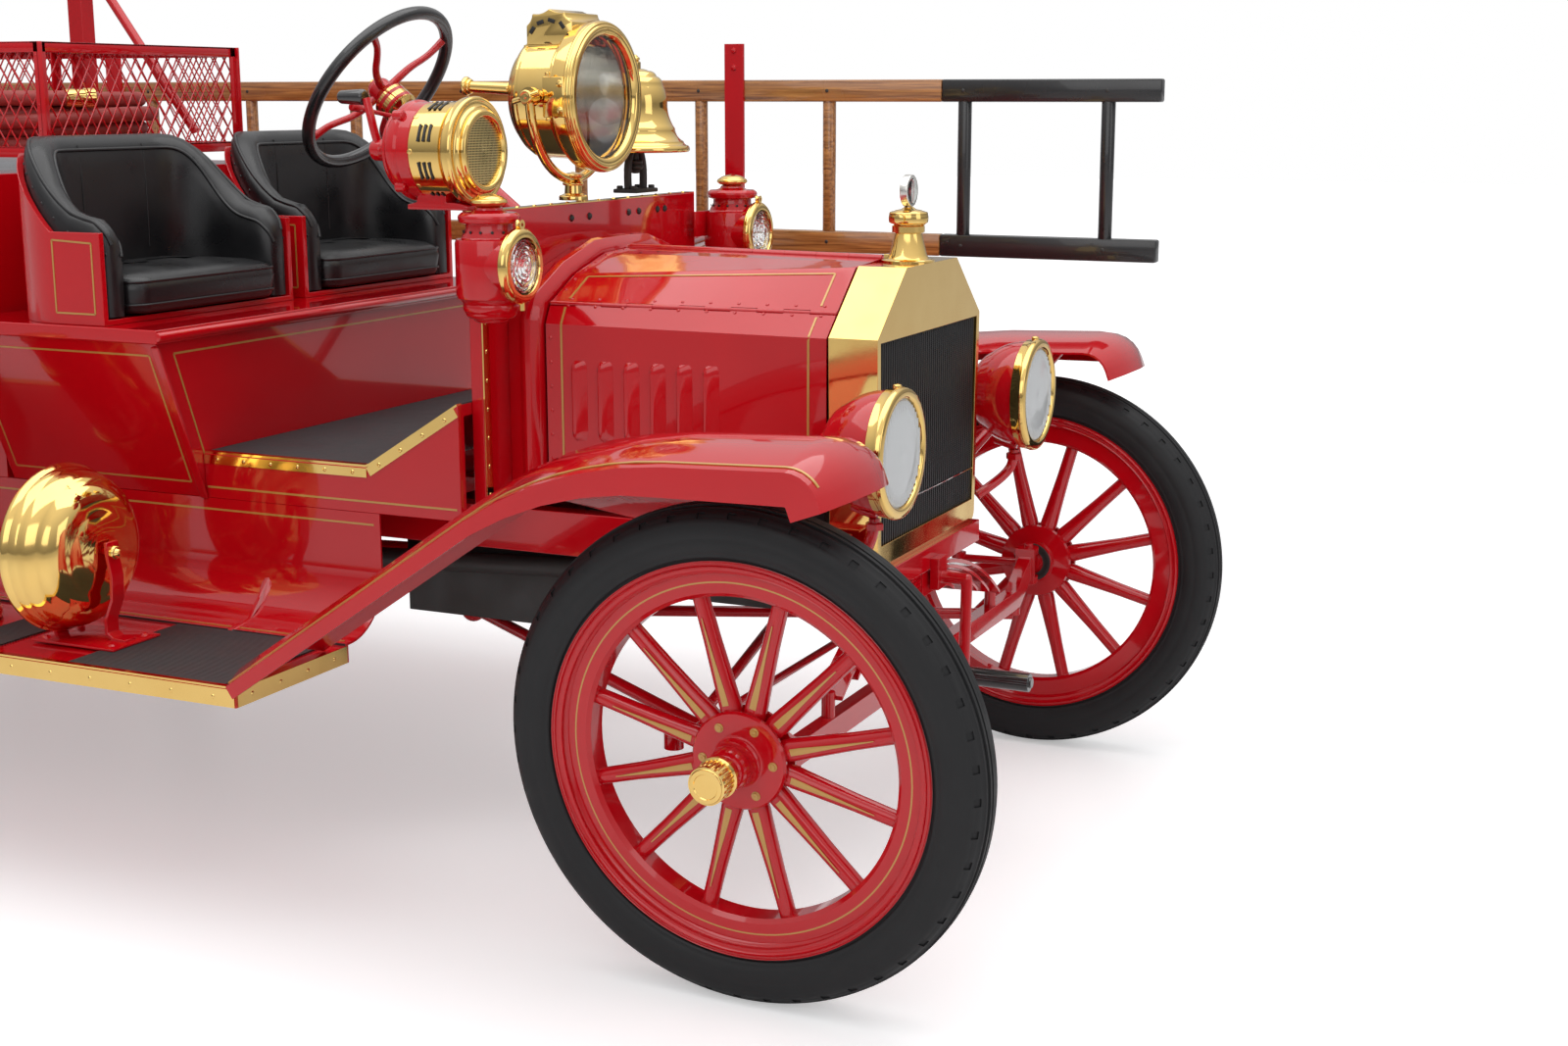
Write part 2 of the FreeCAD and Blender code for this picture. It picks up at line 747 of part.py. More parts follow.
def hood_point(share, index):
    """A corner of the hood: share 0 is its front end and 1 its back end."""
    (x0, front), (x1, back) = hood_stations()
    along = 1 - share
    return (float(x1) * share + float(x0) * along,
            float(back[index][0]) * share + float(front[index][0]) * along,
            float(back[index][1]) * share + float(front[index][1]) * along)


def hinge_point(share):
    """A point of the centre hinge, just under the ridge."""
    x, _, z = hood_point(share, 0)
    return (x, 0.0, z - hinge_drop.value)


def side_hinge_point(share, side):
    """A point of the hinge between the two leaves, in the middle of the sheet."""
    x, y, z = hood_point(share, 3)
    inward = hood_skin.value / 2 * math.cos(math.radians(45))
    return (x, side * (y - inward), z - inward)


def moved_in(points, inset):
    """A line of (y, z) corners moved in by inset, square to its runs."""
    normals = []
    for (y0, z0), (y1, z1) in zip(points, points[1:]):
        run = math.hypot(y1 - y0, z1 - z0)
        normals.append(((z0 - z1) / run, (y1 - y0) / run))
    normals = normals[:1] + normals + normals[-1:]
    moved = []
    for (y, z), before, after in zip(points, normals, normals[1:]):
        across, above = before[0] + after[0], before[1] + after[1]
        scale = 2 * inset / (across * across + above * above)
        moved.append((y - across * scale, z - above * scale))
    return moved


def corner_line(corners):
    return [(float(y), float(z)) for y, z in corners]


def hood_panel(side, first, last):
    """The sheet between two corners of the hood's line, from its front to its back."""
    wires = []
    for x, corners in hood_stations():
        outside = corner_line(corners[first:last + 1])
        loop = outside + moved_in(outside, hood_skin.value)[::-1]
        points = [world(x, side * y, z) for y, z in loop]
        wires.append(Part.makePolygon(points + points[:1]))
    return shaped(Part.makeLoft(wires, True, True))


def knuckles(start, stop, count, first, collar, spare):
    """The collars of one leaf, and the gaps that it leaves for the other's."""
    run = stop - start
    own = []
    gaps = []
    slack = 0.004
    past_end = 0.1
    for k in range(count):
        if k % 2 == first:
            own.append(rod(tuple(start + run * ((k + slack) / count)),
                           tuple(start + run * ((k + 1 - slack) / count)), collar))
            continue
        before = past_end if k == 0 else slack
        after = past_end if k == count - 1 else slack
        gaps.append(rod(tuple(start + run * ((k - before) / count)),
                        tuple(start + run * ((k + 1 + after) / count)), collar + spare))
    return own, gaps


def build_hood():
    """Each half is a top leaf on the centre hinge and a side leaf hinged to its slope."""
    collar = hinge_radius + 2.5
    small = side_pin_radius + 2
    spare = 1.5
    for side, first in ((1, 0), (-1, 1)):
        middle = knuckles(Vector(*hinge_point(0)), Vector(*hinge_point(1)),
                          hinge_knuckles, first, collar, spare)
        a = Vector(*side_hinge_point(0, side))
        b = Vector(*side_hinge_point(1, side))
        upper = knuckles(a, b, side_knuckles, 0, small, spare)
        lower = knuckles(a, b, side_knuckles, 1, small, spare)
        hole = rod(hinge_point(-0.05), hinge_point(1.05), hinge_radius + 0.3)
        pin = rod(tuple(a), tuple(b), side_pin_radius)
        top = cut(hood_panel(side, 0, 3), *(middle[1] + upper[1]))
        ridged = cut(fuse(top, *middle[0]), hole)
        keep("hood_top_" + side_name(side), fuse(ridged, fuse(pin, *upper[0])))
        bore = rod(tuple(a), tuple(b), side_pin_radius + 0.3)
        sheet_side = cut(hood_panel(side, 3, 5), *lower[1])
        keep("hood_side_" + side_name(side), cut(fuse(sheet_side, *lower[0]), bore))


# Dash, cowl moulding, floor and toe board
def build_dash():
    outer = [(-dash_half_width, frame_top + 2), (dash_half_width, frame_top + 2),
             (dash_half_width, dash_top), (-dash_half_width, dash_top)]
    hole = rod(column_point(dash_x - 60), column_point(dash_x + 60), column_radius + 1)
    keep("dash", cut(padded("YZ_Plane", outer, dash_thickness, x=dash_x), hole))
    back_line = hood_stations()[1][1]
    line = [(0.0, back_line[0][1].value)] + corner_line(back_line[1:])
    line[-1] = (line[-1][0], frame_top.value + 20)
    dash_face = (dash_x + dash_thickness / 2).value
    hood_end = (hood_back_x - hood_gap).value
    rise = cowl_rise.value
    ridge = [(hood_end, 0), (hood_end - 6, 0.45), (hood_end - 14, 0.88), (hood_end - 22, 1),
             (hood_end - 30, 0.88), (hood_end - 38, 0.5), (hood_end - 44, 0.35), (dash_face, 0.3)]
    outside = cowl_solid(line, [(x, -rise * share) for x, share in ridge])
    wall = cowl_wall.value
    inside = cowl_solid(line, [(hood_end + 0.001, wall), (dash_face - 0.001, wall)])
    below = box(dash_face - 5, hood_end + 5, -(hood_back_half + rise + 2),
                hood_back_half + rise + 2, frame_top, frame_top + 40)
    hinge = rod(hinge_point(-0.02), hinge_point(1.03), hinge_radius)
    keep("cowl", fuse(cut(shaped(outside.cut(inside)), below), hinge))


def cowl_solid(line, stations):
    """A solid of the hood's end line, moved in by its own inset at every x."""
    wires = []
    for x, inset in stations:
        left = moved_in(line, inset)
        left[0] = (0.0, left[0][1])
        loop = left + [(-y, z) for y, z in left[:0:-1]]
        points = [world(x, y, z) for y, z in loop]
        wires.append(Part.makePolygon(points + points[:1]))
    return Part.makeLoft(wires, True, True)


def build_floor():
    dash_back = dash_x - dash_thickness / 2
    toe_top = floor_height + toe_board_rise
    profile = [(seat_box_front_x, frame_top), (dash_back, frame_top), (dash_back, toe_top),
               (floor_front_x, floor_height), (seat_box_front_x, floor_height)]
    outside = padded("XZ_Plane", profile, seat_box_half_foot * 2)
    thick = floor_thickness
    hollow = [(seat_box_front_x - 1, frame_top - 1), (dash_back + 1, frame_top - 1),
              (dash_back + 1, toe_top - thick), (floor_front_x, floor_height - thick),
              (seat_box_front_x - 1, floor_height - thick)]
    wall = panel_thickness
    inside = padded("XZ_Plane", hollow, seat_box_half_foot * 2 - wall * 2)
    keep("floor", cut(outside, inside))


# Seat box with flared sides and its seat board
def build_seat_box():
    foot = seat_box_half_foot
    top = seat_box_half_top
    lid = seat_board_height - seat_board_thickness
    wall = panel_thickness
    length = seat_box_front_x - seat_box_back_x
    middle = (seat_box_front_x + seat_box_back_x) / 2
    outer = [(-foot, frame_top), (foot, frame_top), (top, lid), (-top, lid)]
    inner = [(-(foot - wall), frame_top - 1), (foot - wall, frame_top - 1),
             (top - wall, lid - wall), (-(top - wall), lid - wall)]
    box_walls = cut(padded("YZ_Plane", outer, length, x=middle),
                    padded("YZ_Plane", inner, length - wall * 2, x=middle))
    board = box(seat_box_back_x, seat_box_front_x + 14, -(top + 12), top + 12,
                lid, seat_board_height)
    keep("seat_box", fuse(box_walls, board))


def bucket_outline(front, back, half, corner):
    """Plan of a bucket seat round one side, open at the front."""
    return [(front, -half), (front, half), (back + corner, half), (back, half - corner, corner),
            (back, -(half - corner)), (back + corner, -half, corner)]


def bucket(inset, low, high, side):
    """The block of one bucket seat, moved in from its outer form."""
    corner = 150 - inset
    outline = bucket_outline(seat_front_x - 0, seat_back_x + inset, seat_half_width - inset, corner)
    return padded("XY_Plane", outline, high - low, y=side * seat_half_spacing,
                  z=(low + high) / 2)


def arm_slope(side, lift):
    """What is cut away above the arms, from the back down to the front."""
    crest = seat_back_height + lift
    arm = seat_arm_height + lift
    front = seat_front_x + 400
    profile = [(seat_back_x + 20, crest), (seat_back_x + 20, crest + 200), (front, crest + 200),
               (front, arm), (seat_back_x + 150, arm)]
    return padded("XZ_Plane", profile, seat_half_width * 2 + 100, y=side * seat_half_spacing)


def build_seats():
    shells = []
    linings = []
    cushions = []
    for side in (1, -1):
        low = seat_board_height
        high = seat_back_height
        outer = bucket(0, low, high - 30, side)
        inner = bucket(seat_wall, low + 10, high + 50, side)
        shells.append(cut(outer, inner, arm_slope(side, -30)))
        pad_outer = bucket(seat_wall + soft_gap, low + 12, high, side)
        pad_inner = bucket(seat_wall + padding, low + 5, high + 50, side)
        linings.append(cut(pad_outer, pad_inner, arm_slope(side, 0)))
        half = seat_half_width - seat_wall - padding - soft_gap
        base = low + 12
        outline = bucket_outline(seat_front_x + 20, seat_back_x + seat_wall + padding + soft_gap,
                                 half, 150 - seat_wall - padding)
        cushions.append(padded("XY_Plane", outline, cushion_height,
                               y=side * seat_half_spacing, z=base + cushion_height / 2))
    keep("seat_shells", fuse(*shells))
    keep("seat_linings", fuse(*linings))
    keep("seat_cushions", fuse(*cushions))

# Wheels and tyres, made about the origin and then stood on their spindles
def outward(side, camber):
    return vector(0, side * camber.cos(), -camber.sin())


def wheel_shape(side):
    out = LEFT * side
    bore = hub_bore_radius
    cap = hub_reach
    hub = turned([
        (-hub_inner_reach, bore), (cap - 42, bore), (cap - 42, 0), (cap, 0),
        (cap, hub_cap_radius - 5), (cap - 5, hub_cap_radius), (cap - 36, hub_cap_radius),
        (cap - 38, hub_barrel_radius - 3), (30, hub_barrel_radius + 2),
        (24, hub_flange_radius), (24 - hub_flange_thickness, hub_flange_radius),
        (24 - hub_flange_thickness, 54), (-14, 54), (-14, hub_flange_radius),
        (-22, hub_flange_radius), (-26, 42), (-hub_inner_reach, 42)], LOCAL, 0, 0, out)
    half = felloe_width / 2
    wide = rim_width / 2
    well = rim_radius - 12
    inner = well - rim_thickness
    felloe_in = inner - felloe_depth
    rim = turned([
        (-half, felloe_in + 6), (-half + 6, felloe_in), (half - 6, felloe_in),
        (half, felloe_in + 6), (half, inner), (wide - 4, inner), (wide, rim_radius - 8),
        (wide, rim_radius), (wide - 5, rim_radius), (wide - 6, well), (-(wide - 6), well),
        (-(wide - 5), rim_radius), (-wide, rim_radius), (-wide, rim_radius - 8),
        (-(wide - 4), inner), (-half, inner)], LOCAL, 0, 0, out)
    parts = [hub, rim]
    root = 48
    for k in range(spoke_count):
        angle = 2 * math.pi * (k + 0.5) / spoke_count
        direction = Vector(math.cos(angle), 0, math.sin(angle))
        parts.append(cone(LOCAL + root * direction.x, 0, root * direction.z, direction,
                          spoke_root_radius, spoke_tip_radius, felloe_in + 8 - root))
    return fuse(*parts)


def tyre_shape(x, y, z, direction):
    wide = rim_width / 2 - 6.4
    seat = rim_radius - 12 + 0.4
    waist = tyre_radius - tyre_tube
    lower = rim_radius + 3
    return turned([
        (-wide, seat), (-wide, lower), (-tyre_tube, waist, -(tyre_tube + 6)),
        (0, tyre_radius, -tyre_tube), (tyre_tube, waist, -tyre_tube),
        (wide, lower, -(tyre_tube + 6)), (wide, seat)], x, y, z, direction)


def build_wheels():
    level = given("rear_camber", 0)
    for end, x, z, camber in (("front", 0, front_hub_z, front_camber),
                              ("rear", -wheelbase, tyre_radius, level)):
        for side in (1, -1):
            out = outward(side, camber)
            y = side * track / 2
            where = "%s_%s" % (end, side_name(side))
            keep("wheel_" + where, place(wheel_shape(side), x, y, z, point_to(out, LEFT * side)))
            keep("tyre_" + where, tyre_shape(x, y, z, out))


# Steering knuckles, tie rod, drag link, arm, column and wheel
def build_knuckles():
    for side in (1, -1):
        out = outward(side, front_camber)
        y = side * kingpin_y
        parts = [cylinder(0, y, kingpin_z, UP, 14, knuckle_half_height * 2, 0.5),
                 cylinder(8 * out.x, y + 12 * out.y, kingpin_z + 12 * out.z, out,
                          hub_bore_radius - axle_gap, kingpin_inset + hub_reach - 56),
                 cylinder(0, y + 13 * out.y, kingpin_z + 13 * out.z, out, 20, 9),
                 rod((0, float(y) + side * 14, kingpin_z), (-steering_arm_length, y, kingpin_z), 8),
                 cylinder(-steering_arm_length, y, kingpin_z, UP, link_eye_radius, 24, 0.5)]
        whole = fuse(*parts)
        pin = cylinder(0, y, kingpin_z, UP, kingpin_radius + kingpin_gap,
                       knuckle_half_height * 2 + 10, 0.5)
        eye = cylinder(-steering_arm_length, y, kingpin_z, UP, link_pin_radius + kingpin_gap,
                       40, 0.5)
        keep("knuckle_" + side_name(side), cut(whole, pin, eye))


def tie_rod_z():
    return kingpin_z - 12 - axle_gap - link_eye_height / 2


def column_point(x):
    """The middle of the steering column at a distance from the front axle."""
    slope = math.tan(math.radians(column_rake.value))
    return (x, column_y, steering_wheel_z + (steering_wheel_x - x) * slope)


def column_direction():
    """From the steering wheel down to the foot of the column."""
    return vector(column_rake.cos(), 0, -column_rake.sin())


def arm_ball():
    foot = column_point(column_foot_x)
    down = vector(-column_rake.sin(), 0, -column_rake.cos())
    reach = steering_arm_length
    return (foot[0] + reach * down.x, column_y, foot[2] + reach * down.z)


def build_steering():
    z = tie_rod_z()
    y = kingpin_y
    x = -steering_arm_length
    parts = [rod((x, -y, z), (x, y, z), tie_rod_radius)]
    for side in (1, -1):
        parts.append(cylinder(x, side * y, z, UP, link_eye_radius, link_eye_height, 0.5))
        parts.append(cylinder(x, side * y, z, UP, link_pin_radius, link_eye_height / 2 + 28))
    joint = (x, -(y - drag_link_inset), z + 20)
    end = arm_ball()
    cup_start = arm_ball_radius + link_cup_gap
    near = (end[0] + 6, end[1] - cup_start - link_cup_length, end[2] - 2)
    parts += [rod(near, joint, drag_link_radius), ball(*joint, 13),
              cylinder(joint[0], joint[1], z, UP, 8, 20),
              cylinder(end[0], end[1] - cup_start, end[2], -LEFT, link_cup_radius,
                       link_cup_length)]
    keep("tie_rod", fuse(*parts))

    foot = column_point(column_foot_x)
    hub = column_point(steering_wheel_x)
    down = column_direction()
    column_end = column_foot_x - 90
    tube = rod(column_point(steering_wheel_x + 46), column_point(column_end), column_radius)
    bracket = box(column_foot_x - 125, column_foot_x - 75, column_y - 6, rail_half_gauge,
                  frame_top, frame_top + 24)
    gear_case = cylinder(hub[0] + 30 * down.x, column_y, hub[2] + 30 * down.z, down, 36, 38)
    bore = rod(column_point(steering_wheel_x - 20), column_point(column_foot_x + 20),
               shaft_radius + kingpin_gap)
    keep("steering_column", cut(fuse(tube, bracket, gear_case), bore))
    low = rod(column_point(column_end - shaft_seat), column_point(column_foot_x + 4), shaft_radius)
    boss = cylinder(foot[0] - 14 * down.x, column_y, foot[2] - 14 * down.z, down, 16, 26)
    parts = [low, boss, rod(foot, end, 8), ball(*end, arm_ball_radius)]
    keep("steering_arm", fuse(*parts))

    rim = ring(hub[0], column_y, hub[2], down, steering_wheel_radius, steering_rim_radius)
    parts = [rim, cylinder(hub[0] - 8 * down.x, column_y, hub[2] - 8 * down.z, down, 22, 34),
             rod(column_point(steering_wheel_x), column_point(steering_wheel_x + 150), shaft_radius)]
    across = vector(column_rake.sin(), 0, column_rake.cos())
    for k in range(4):
        angle = math.radians(45 + 90 * k)
        spoke = LEFT * math.cos(angle) + across * math.sin(angle)
        reach = steering_wheel_radius
        parts.append(rod(hub, (hub[0] + reach * spoke.x, column_y + reach * spoke.y,
                               hub[2] + reach * spoke.z), 8))
    keep("steering_wheel", fuse(*parts))


# Fenders: a crowned strip of sheet along a path of runs and arcs
def fender_path(start, heading, legs):
    """Stations (x, z, heading in radians) along straight legs and arcs."""
    x, z = start
    angle = math.radians(heading)
    stations = [(x, z, angle)]
    for length, turn in legs:
        steps = 1 if turn == 0 else 5
        for _ in range(steps):
            bend = math.radians(turn) / steps
            piece = length / steps
            mid = angle + bend / 2
            x += piece * math.cos(mid)
            z += piece * math.sin(mid)
            angle += bend
            stations.append((x, z, angle))
    return stations


def fender_section(station, side, lip):
    """Crowned cross-section square to the path, its outer lip turned down."""
    x, z, angle = station
    up_x, up_z = -math.sin(angle), math.cos(angle)
    inner, outer = fender_inner.value, fender_outer.value
    width = outer - inner
    skin = fender_skin.value
    crown = fender_crown.value
    top = [(inner, 0.0), (inner + width * 0.2, crown * 0.65), (inner + width * 0.5, crown),
           (inner + width * 0.8, crown * 0.65), (outer, 0.0)]
    under = [(y, h - skin) for y, h in top[:-1]]
    loop = top + [(outer, -lip), (outer - skin, -lip), (outer - skin, -skin)] + under[::-1]
    return [world(x + up_x * h, side * y, z + up_z * h) for y, h in loop]


def strip_solid(stations, side, lips):
    """A strip of sheet along stations, with its own lip depth at each of them."""
    wires = []
    for station, lip in zip(stations, lips):
        loop = fender_section(station, side, lip)
        wires.append(Part.makePolygon(loop + loop[:1]))
    return Part.makeLoft(wires, True, True)


def front_fender_stations():
    rake = fender_rake.value
    flat = 2.0
    bend = fender_bend_radius.value * math.radians(rake - flat)
    nose = fender_nose_radius.value * math.radians(70 + flat)
    start = (fender_tail_x.value, board_height.value + fender_skin.value)
    before = fender_path(start, rake, [(fender_run.value, 0), (bend, flat - rake)])
    gap = fender_nose_x.value - before[-1][0] - fender_nose_radius.value
    return fender_path(start, rake, [(fender_run.value, 0), (bend, flat - rake), (gap, 0),
                                     (nose, -70 - flat), (fender_nose_drop.value, 0)])


def build_front_fenders():
    stations = front_fender_stations()
    bend_start, bend_end = 1, 7
    lips = []
    for k in range(len(stations)):
        share = min(max((k - bend_start) / (bend_end - bend_start), 0), 1)
        lips.append(fender_lip.value + (fender_nose_lip - fender_lip).value * share)
    for side in (1, -1):
        strip = strip_solid(stations, side, lips)
        foot_y = rail_half_gauge.value + rail_width.value / 2
        foot_z = frame_top.value
        quads = []
        for x, z, _ in stations[1:6]:
            if x > radiator_face.value - radiator_depth.value:
                break
            quad = [(fender_inner.value + 3, z - 2), (foot_y, foot_z + 2), (foot_y, foot_z),
                    (fender_inner.value + 3, z - 5)]
            loop = [world(x, side * y, h) for y, h in quad]
            quads.append(Part.makePolygon(loop + loop[:1]))
        skirt = Part.makeLoft(quads, True, True)
        iron = rod((-80, side * (foot_y - 8), foot_z - 36), (60, side * 700, 844), 10)
        keep("front_fender_" + side_name(side),
             fuse(shaped(strip), shaped(skirt), cut(iron, *rail_blocks())))


def rear_fender_stations():
    """Stations round the rear wheel from its tail to its front foot."""
    radius = rear_fender_radius.value
    steps = 10
    stations = []
    rise = board_height.value + fender_skin.value - tyre_radius.value
    foot = math.degrees(math.asin(rise / radius))
    for k in range(steps + 1):
        round_wheel = math.radians(rear_fender_tail + (foot - rear_fender_tail) * k / steps)
        stations.append((radius * math.cos(round_wheel) - wheelbase.value,
                         radius * math.sin(round_wheel) + tyre_radius.value,
                         round_wheel - math.pi / 2))
    return stations


def build_rear_fenders():
    top = tyre_radius + rear_fender_radius
    for side in (1, -1):
        stations = rear_fender_stations()
        strip = strip_solid(stations, side, [fender_lip.value] * len(stations))
        stay = box(-wheelbase - 20, -wheelbase + 20, min_of(side * bed_half_width, side * (fender_inner + 30)),
                   max_of(side * bed_half_width, side * (fender_inner + 30)), top - 14, top - 3)
        keep("rear_fender_" + side_name(side), fuse(shaped(strip), stay))


# Running boards and splash aprons
def mat_runs(side):
    """Where the rubber mat lies: on the right it leaves room for gong and tank."""
    front = board_front_x - mat_inset
    if side > 0:
        return [(board_back_x + mat_inset * 4, front)]
    return [(gong_x + mat_inset, front),
            (extinguisher_x + extinguisher_radius + mat_inset, gong_x - 120 - mat_inset)]


def build_boards():
    for side in (1, -1):
        edge = fender_outer - fender_skin - 1
        low, high = (board_inner, edge) if side > 0 else (-edge, -board_inner)
        plank = box(board_back_x, board_front_x, low, high, board_height - board_thickness,
                    board_height)
        irons = []
        for x in (board_front_x - 240, board_back_x + 200):
            iron = rod((x, side * rail_half_gauge, frame_top - 40),
                       (x, side * (board_inner + 30), board_height - board_thickness + 8), 11)
            irons.append(cut(iron, *rail_blocks()))
        top = frame_top
        foot = seat_box_half_foot
        turn = board_inner - foot - 4
        skin = 4
        shelf = board_height + skin
        outline = [(side * foot, top), (side * foot, shelf + turn),
                   (side * (foot + turn), shelf, turn * side),
                   (side * (board_inner + 8), shelf), (side * (board_inner + 8), shelf - skin),
                   (side * (foot + turn), shelf - skin),
                   (side * (foot - skin), shelf + turn, -(turn + skin) * side),
                   (side * (foot - skin), top)]
        apron = padded("YZ_Plane", outline, board_front_x - board_back_x,
                       x=(board_front_x + board_back_x) / 2)
        mat_low, mat_high = (low + mat_border, high - mat_border)
        mats = [box(x0, x1, mat_low, mat_high, board_height, board_height + mat_thickness)
                for x0, x1 in mat_runs(side)]
        keep("running_board_" + side_name(side), fuse(plank, apron, *(irons + mats)))


# Rear body: an open box with a deck, and the sills that carry it
def build_bed():
    back = -(wheelbase + rear_overhang) + 160
    half = bed_half_width
    wall = panel_thickness
    outer = box(back, bed_front_x, -half, half, frame_top, bed_height)
    inner = box(back - 1, bed_front_x - wall, -(half - wall), half - wall,
                frame_top + 60, bed_height - wall)
    keep("rear_body", cut(outer, inner))


def build_basket():
    half = basket_half_width
    bar = basket_angle
    front = basket_front_x
    back = basket_back_x
    parts = []
    for z in (basket_bottom, basket_top - bar):
        parts.append(box(back, front, -half, -half + bar, z, z + bar))
        parts.append(box(back, front, half - bar, half, z, z + bar))
        parts.append(box(front - bar, front, -half, half, z, z + bar))
        parts.append(box(back, back + bar, -half, half, z, z + bar))
    for x in (front - bar, (front + back) / 2, back):
        for y in (-half, half - bar):
            parts.append(box(x, x + bar, y, y + bar, bed_height, basket_top))
    mesh = 3
    wall_box = box(back + 2, front - 2, -half + 2, half - 2, basket_bottom + 2, basket_top - 2)
    inside = box(back + 2 + mesh, front - 2 - mesh, -half + 2 + mesh, half - 2 - mesh,
                 basket_bottom + 2 + mesh, basket_top + 5)
    keep("hose_basket", fuse(cut(wall_box, inside), *parts))


def build_hoop():
    half = basket_half_width
    parts = []
    for side in (1, -1):
        y = side * (half + hoop_tube)
        parts.append(box(hoop_x - hoop_tube, hoop_x + hoop_tube, y - hoop_tube, y + hoop_tube,
                         bed_height, hoop_top))
        parts.append(rod((hoop_x, y, hoop_top - 60), (hoop_x + 297, y, basket_bottom + 40), 10))
    parts.append(box(hoop_x - hoop_tube, hoop_x + hoop_tube, -(half + hoop_tube * 2),
                     half + hoop_tube * 2, hoop_top - hoop_tube * 2, hoop_top))
    keep("hand_rail_hoop", fuse(*parts))


# Ladder on edge along the left side, and its holders
def build_ladder():
    back = ladder_front_x - (first_rung_back * 2 + rung_pitch * (rung_count - 1))
    half = ladder_rail_width / 2
    rails = [box(back, ladder_front_x, ladder_y - half, ladder_y + half,
                 ladder_top - ladder_rail_depth, ladder_top),
             box(back, ladder_front_x, ladder_y - half, ladder_y + half,
                 ladder_bottom, ladder_bottom + ladder_rail_depth)]
    for k in range(rung_count):
        x = ladder_front_x - first_rung_back - rung_pitch * k
        rails.append(cylinder(x, ladder_y, ladder_bottom + 20, UP, rung_radius,
                              ladder_top - ladder_bottom - 40))
    keep("ladder", fuse(*rails))


def build_holders():
    """Two forks: the front one on the dash and the floor, the back one on the body."""
    half = ladder_rail_width / 2 + soft_gap
    near = ladder_y - half
    far = ladder_y + half
    bar = 8
    wide = 22
    parts = []
    for x, foot_x, low_z, high_z in (
            (front_holder_x, dash_x, floor_height - 30, ladder_bottom + 40),
            (back_holder_x, back_holder_x, ladder_bottom - 90, ladder_bottom + 90)):
        parts.append(box(x - wide, x + wide, near - bar, near, ladder_bottom - 30,
                         ladder_top + 76))
        parts.append(box(x - wide, x + wide, near - bar, far + bar, ladder_bottom - 16,
                         ladder_bottom - soft_gap))
        parts.append(box(x - wide, x + wide, far, far + bar, ladder_bottom - 16,
                         ladder_bottom + 60))
        parts.append(rod((x, seat_box_half_foot - 6, low_z), (x, near - 4, ladder_bottom - 20), 12))
        parts.append(rod((foot_x, dash_half_width - 6, high_z), (x, near - 4, ladder_bottom + 50), 12))
    body_side = box(bed_front_x - 2000, bed_front_x, 0, bed_half_width, frame_top, bed_height)
    floor_side = box(seat_box_front_x, dash_x + dash_thickness / 2, 0, seat_box_half_foot,
                     frame_top, floor_height)
    dash_side = box(dash_x - dash_thickness, dash_x + dash_thickness, 0, dash_half_width,
                    frame_top, dash_top)
    keep("ladder_holders", cut(fuse(*parts), body_side, floor_side, dash_side))


def build_rear_step():
    back = -(wheelbase + rear_overhang)
    front = back + 330
    half = fender_inner - 10
    parts = [box(back, front, -half, half, board_height - 26, board_height)]
    for side in (1, -1):
        y = side * (bed_half_width - 60)
        parts.append(box(back + 170, back + 200, y - 14, y + 14, board_height, frame_top))
        iron_y = side * (rail_half_gauge + rail_width / 2 + 12)
        elbow = (front + 14, iron_y, board_height - 36)
        parts.append(rod((-(wheelbase - 100), iron_y, frame_top - 40), elbow, 12))
        parts.append(rod(elbow, (front - 150, iron_y, board_height - 36), 12))
        parts.append(ball(*elbow, 12))
        parts.append(box(-(wheelbase - 80), -(wheelbase - 120), iron_y - 12, iron_y + 12,
                         frame_top - 60, frame_top - 20))
    keep("rear_step", fuse(*parts))


# Lamps, siren, bell, gong and extinguisher
def build_lamps():
    for side in (1, -1):
        r = headlamp_radius
        bowl = turned([(-130, 0), (-130, 26), (-84, 78, -92), (-18, r - 4, -150), (-14, r),
                       (4, r), (8, r - 8), (8, r - 14), (3, r - 18), (6, 0, -420)],
                      headlamp_x - 4, side * headlamp_y, headlamp_z)
        post_x = headlamp_x - 40
        foot_z = shell_bottom + 74
        iron = rod((post_x, side * headlamp_y, foot_z),
                   (rail_front - 40, side * rail_half_gauge, frame_top - 26), headlamp_iron)
        parts = [bowl, cylinder(post_x, side * headlamp_y, foot_z - 6, UP, headlamp_iron + 1,
                                headlamp_z - headlamp_radius - foot_z + 20),
                 cut(iron, *rail_blocks())]
        keep("headlamp_" + side_name(side), fuse(*parts))
    pair = []
    for side in (1, -1):
        y = side * cowl_lamp_y
        x = cowl_lamp_x - 61
        z = cowl_lamp_z
        body = turned([(0, 0), (0, 30), (14, 42), (34, 42), (40, 54), (128, 54), (150, 36, 40),
                       (158, 36), (160, 46), (170, 46), (178, 20, 30), (184, 20), (192, 28),
                       (204, 24), (207, 12), (208, 0)], x, y, z - 92, UP)
        barrel = turned([(0, 0), (0, 52), (50, 52), (52, 60), (62, 60), (66, 50), (60, 44),
                         (64, 22), (65, 0)], x, y, z)
        bracket = box(dash_x + dash_thickness / 2, x + 6, min_of(side * dash_half_width, y),
                      max_of(side * dash_half_width, y), z - 20, z + 20)
        plate = box(dash_x + dash_thickness / 2, dash_x + dash_thickness / 2 + 4,
                    min_of(side * (dash_half_width - 70), side * dash_half_width),
                    max_of(side * (dash_half_width - 70), side * dash_half_width), z - 24, z + 60)
        pair.append(fuse(body, barrel, bracket, plate))
    keep("cowl_lamps", fuse(*pair))


def min_of(a, b):
    return a if float(a) < float(b) else b


def max_of(a, b):
    return b if float(a) < float(b) else a


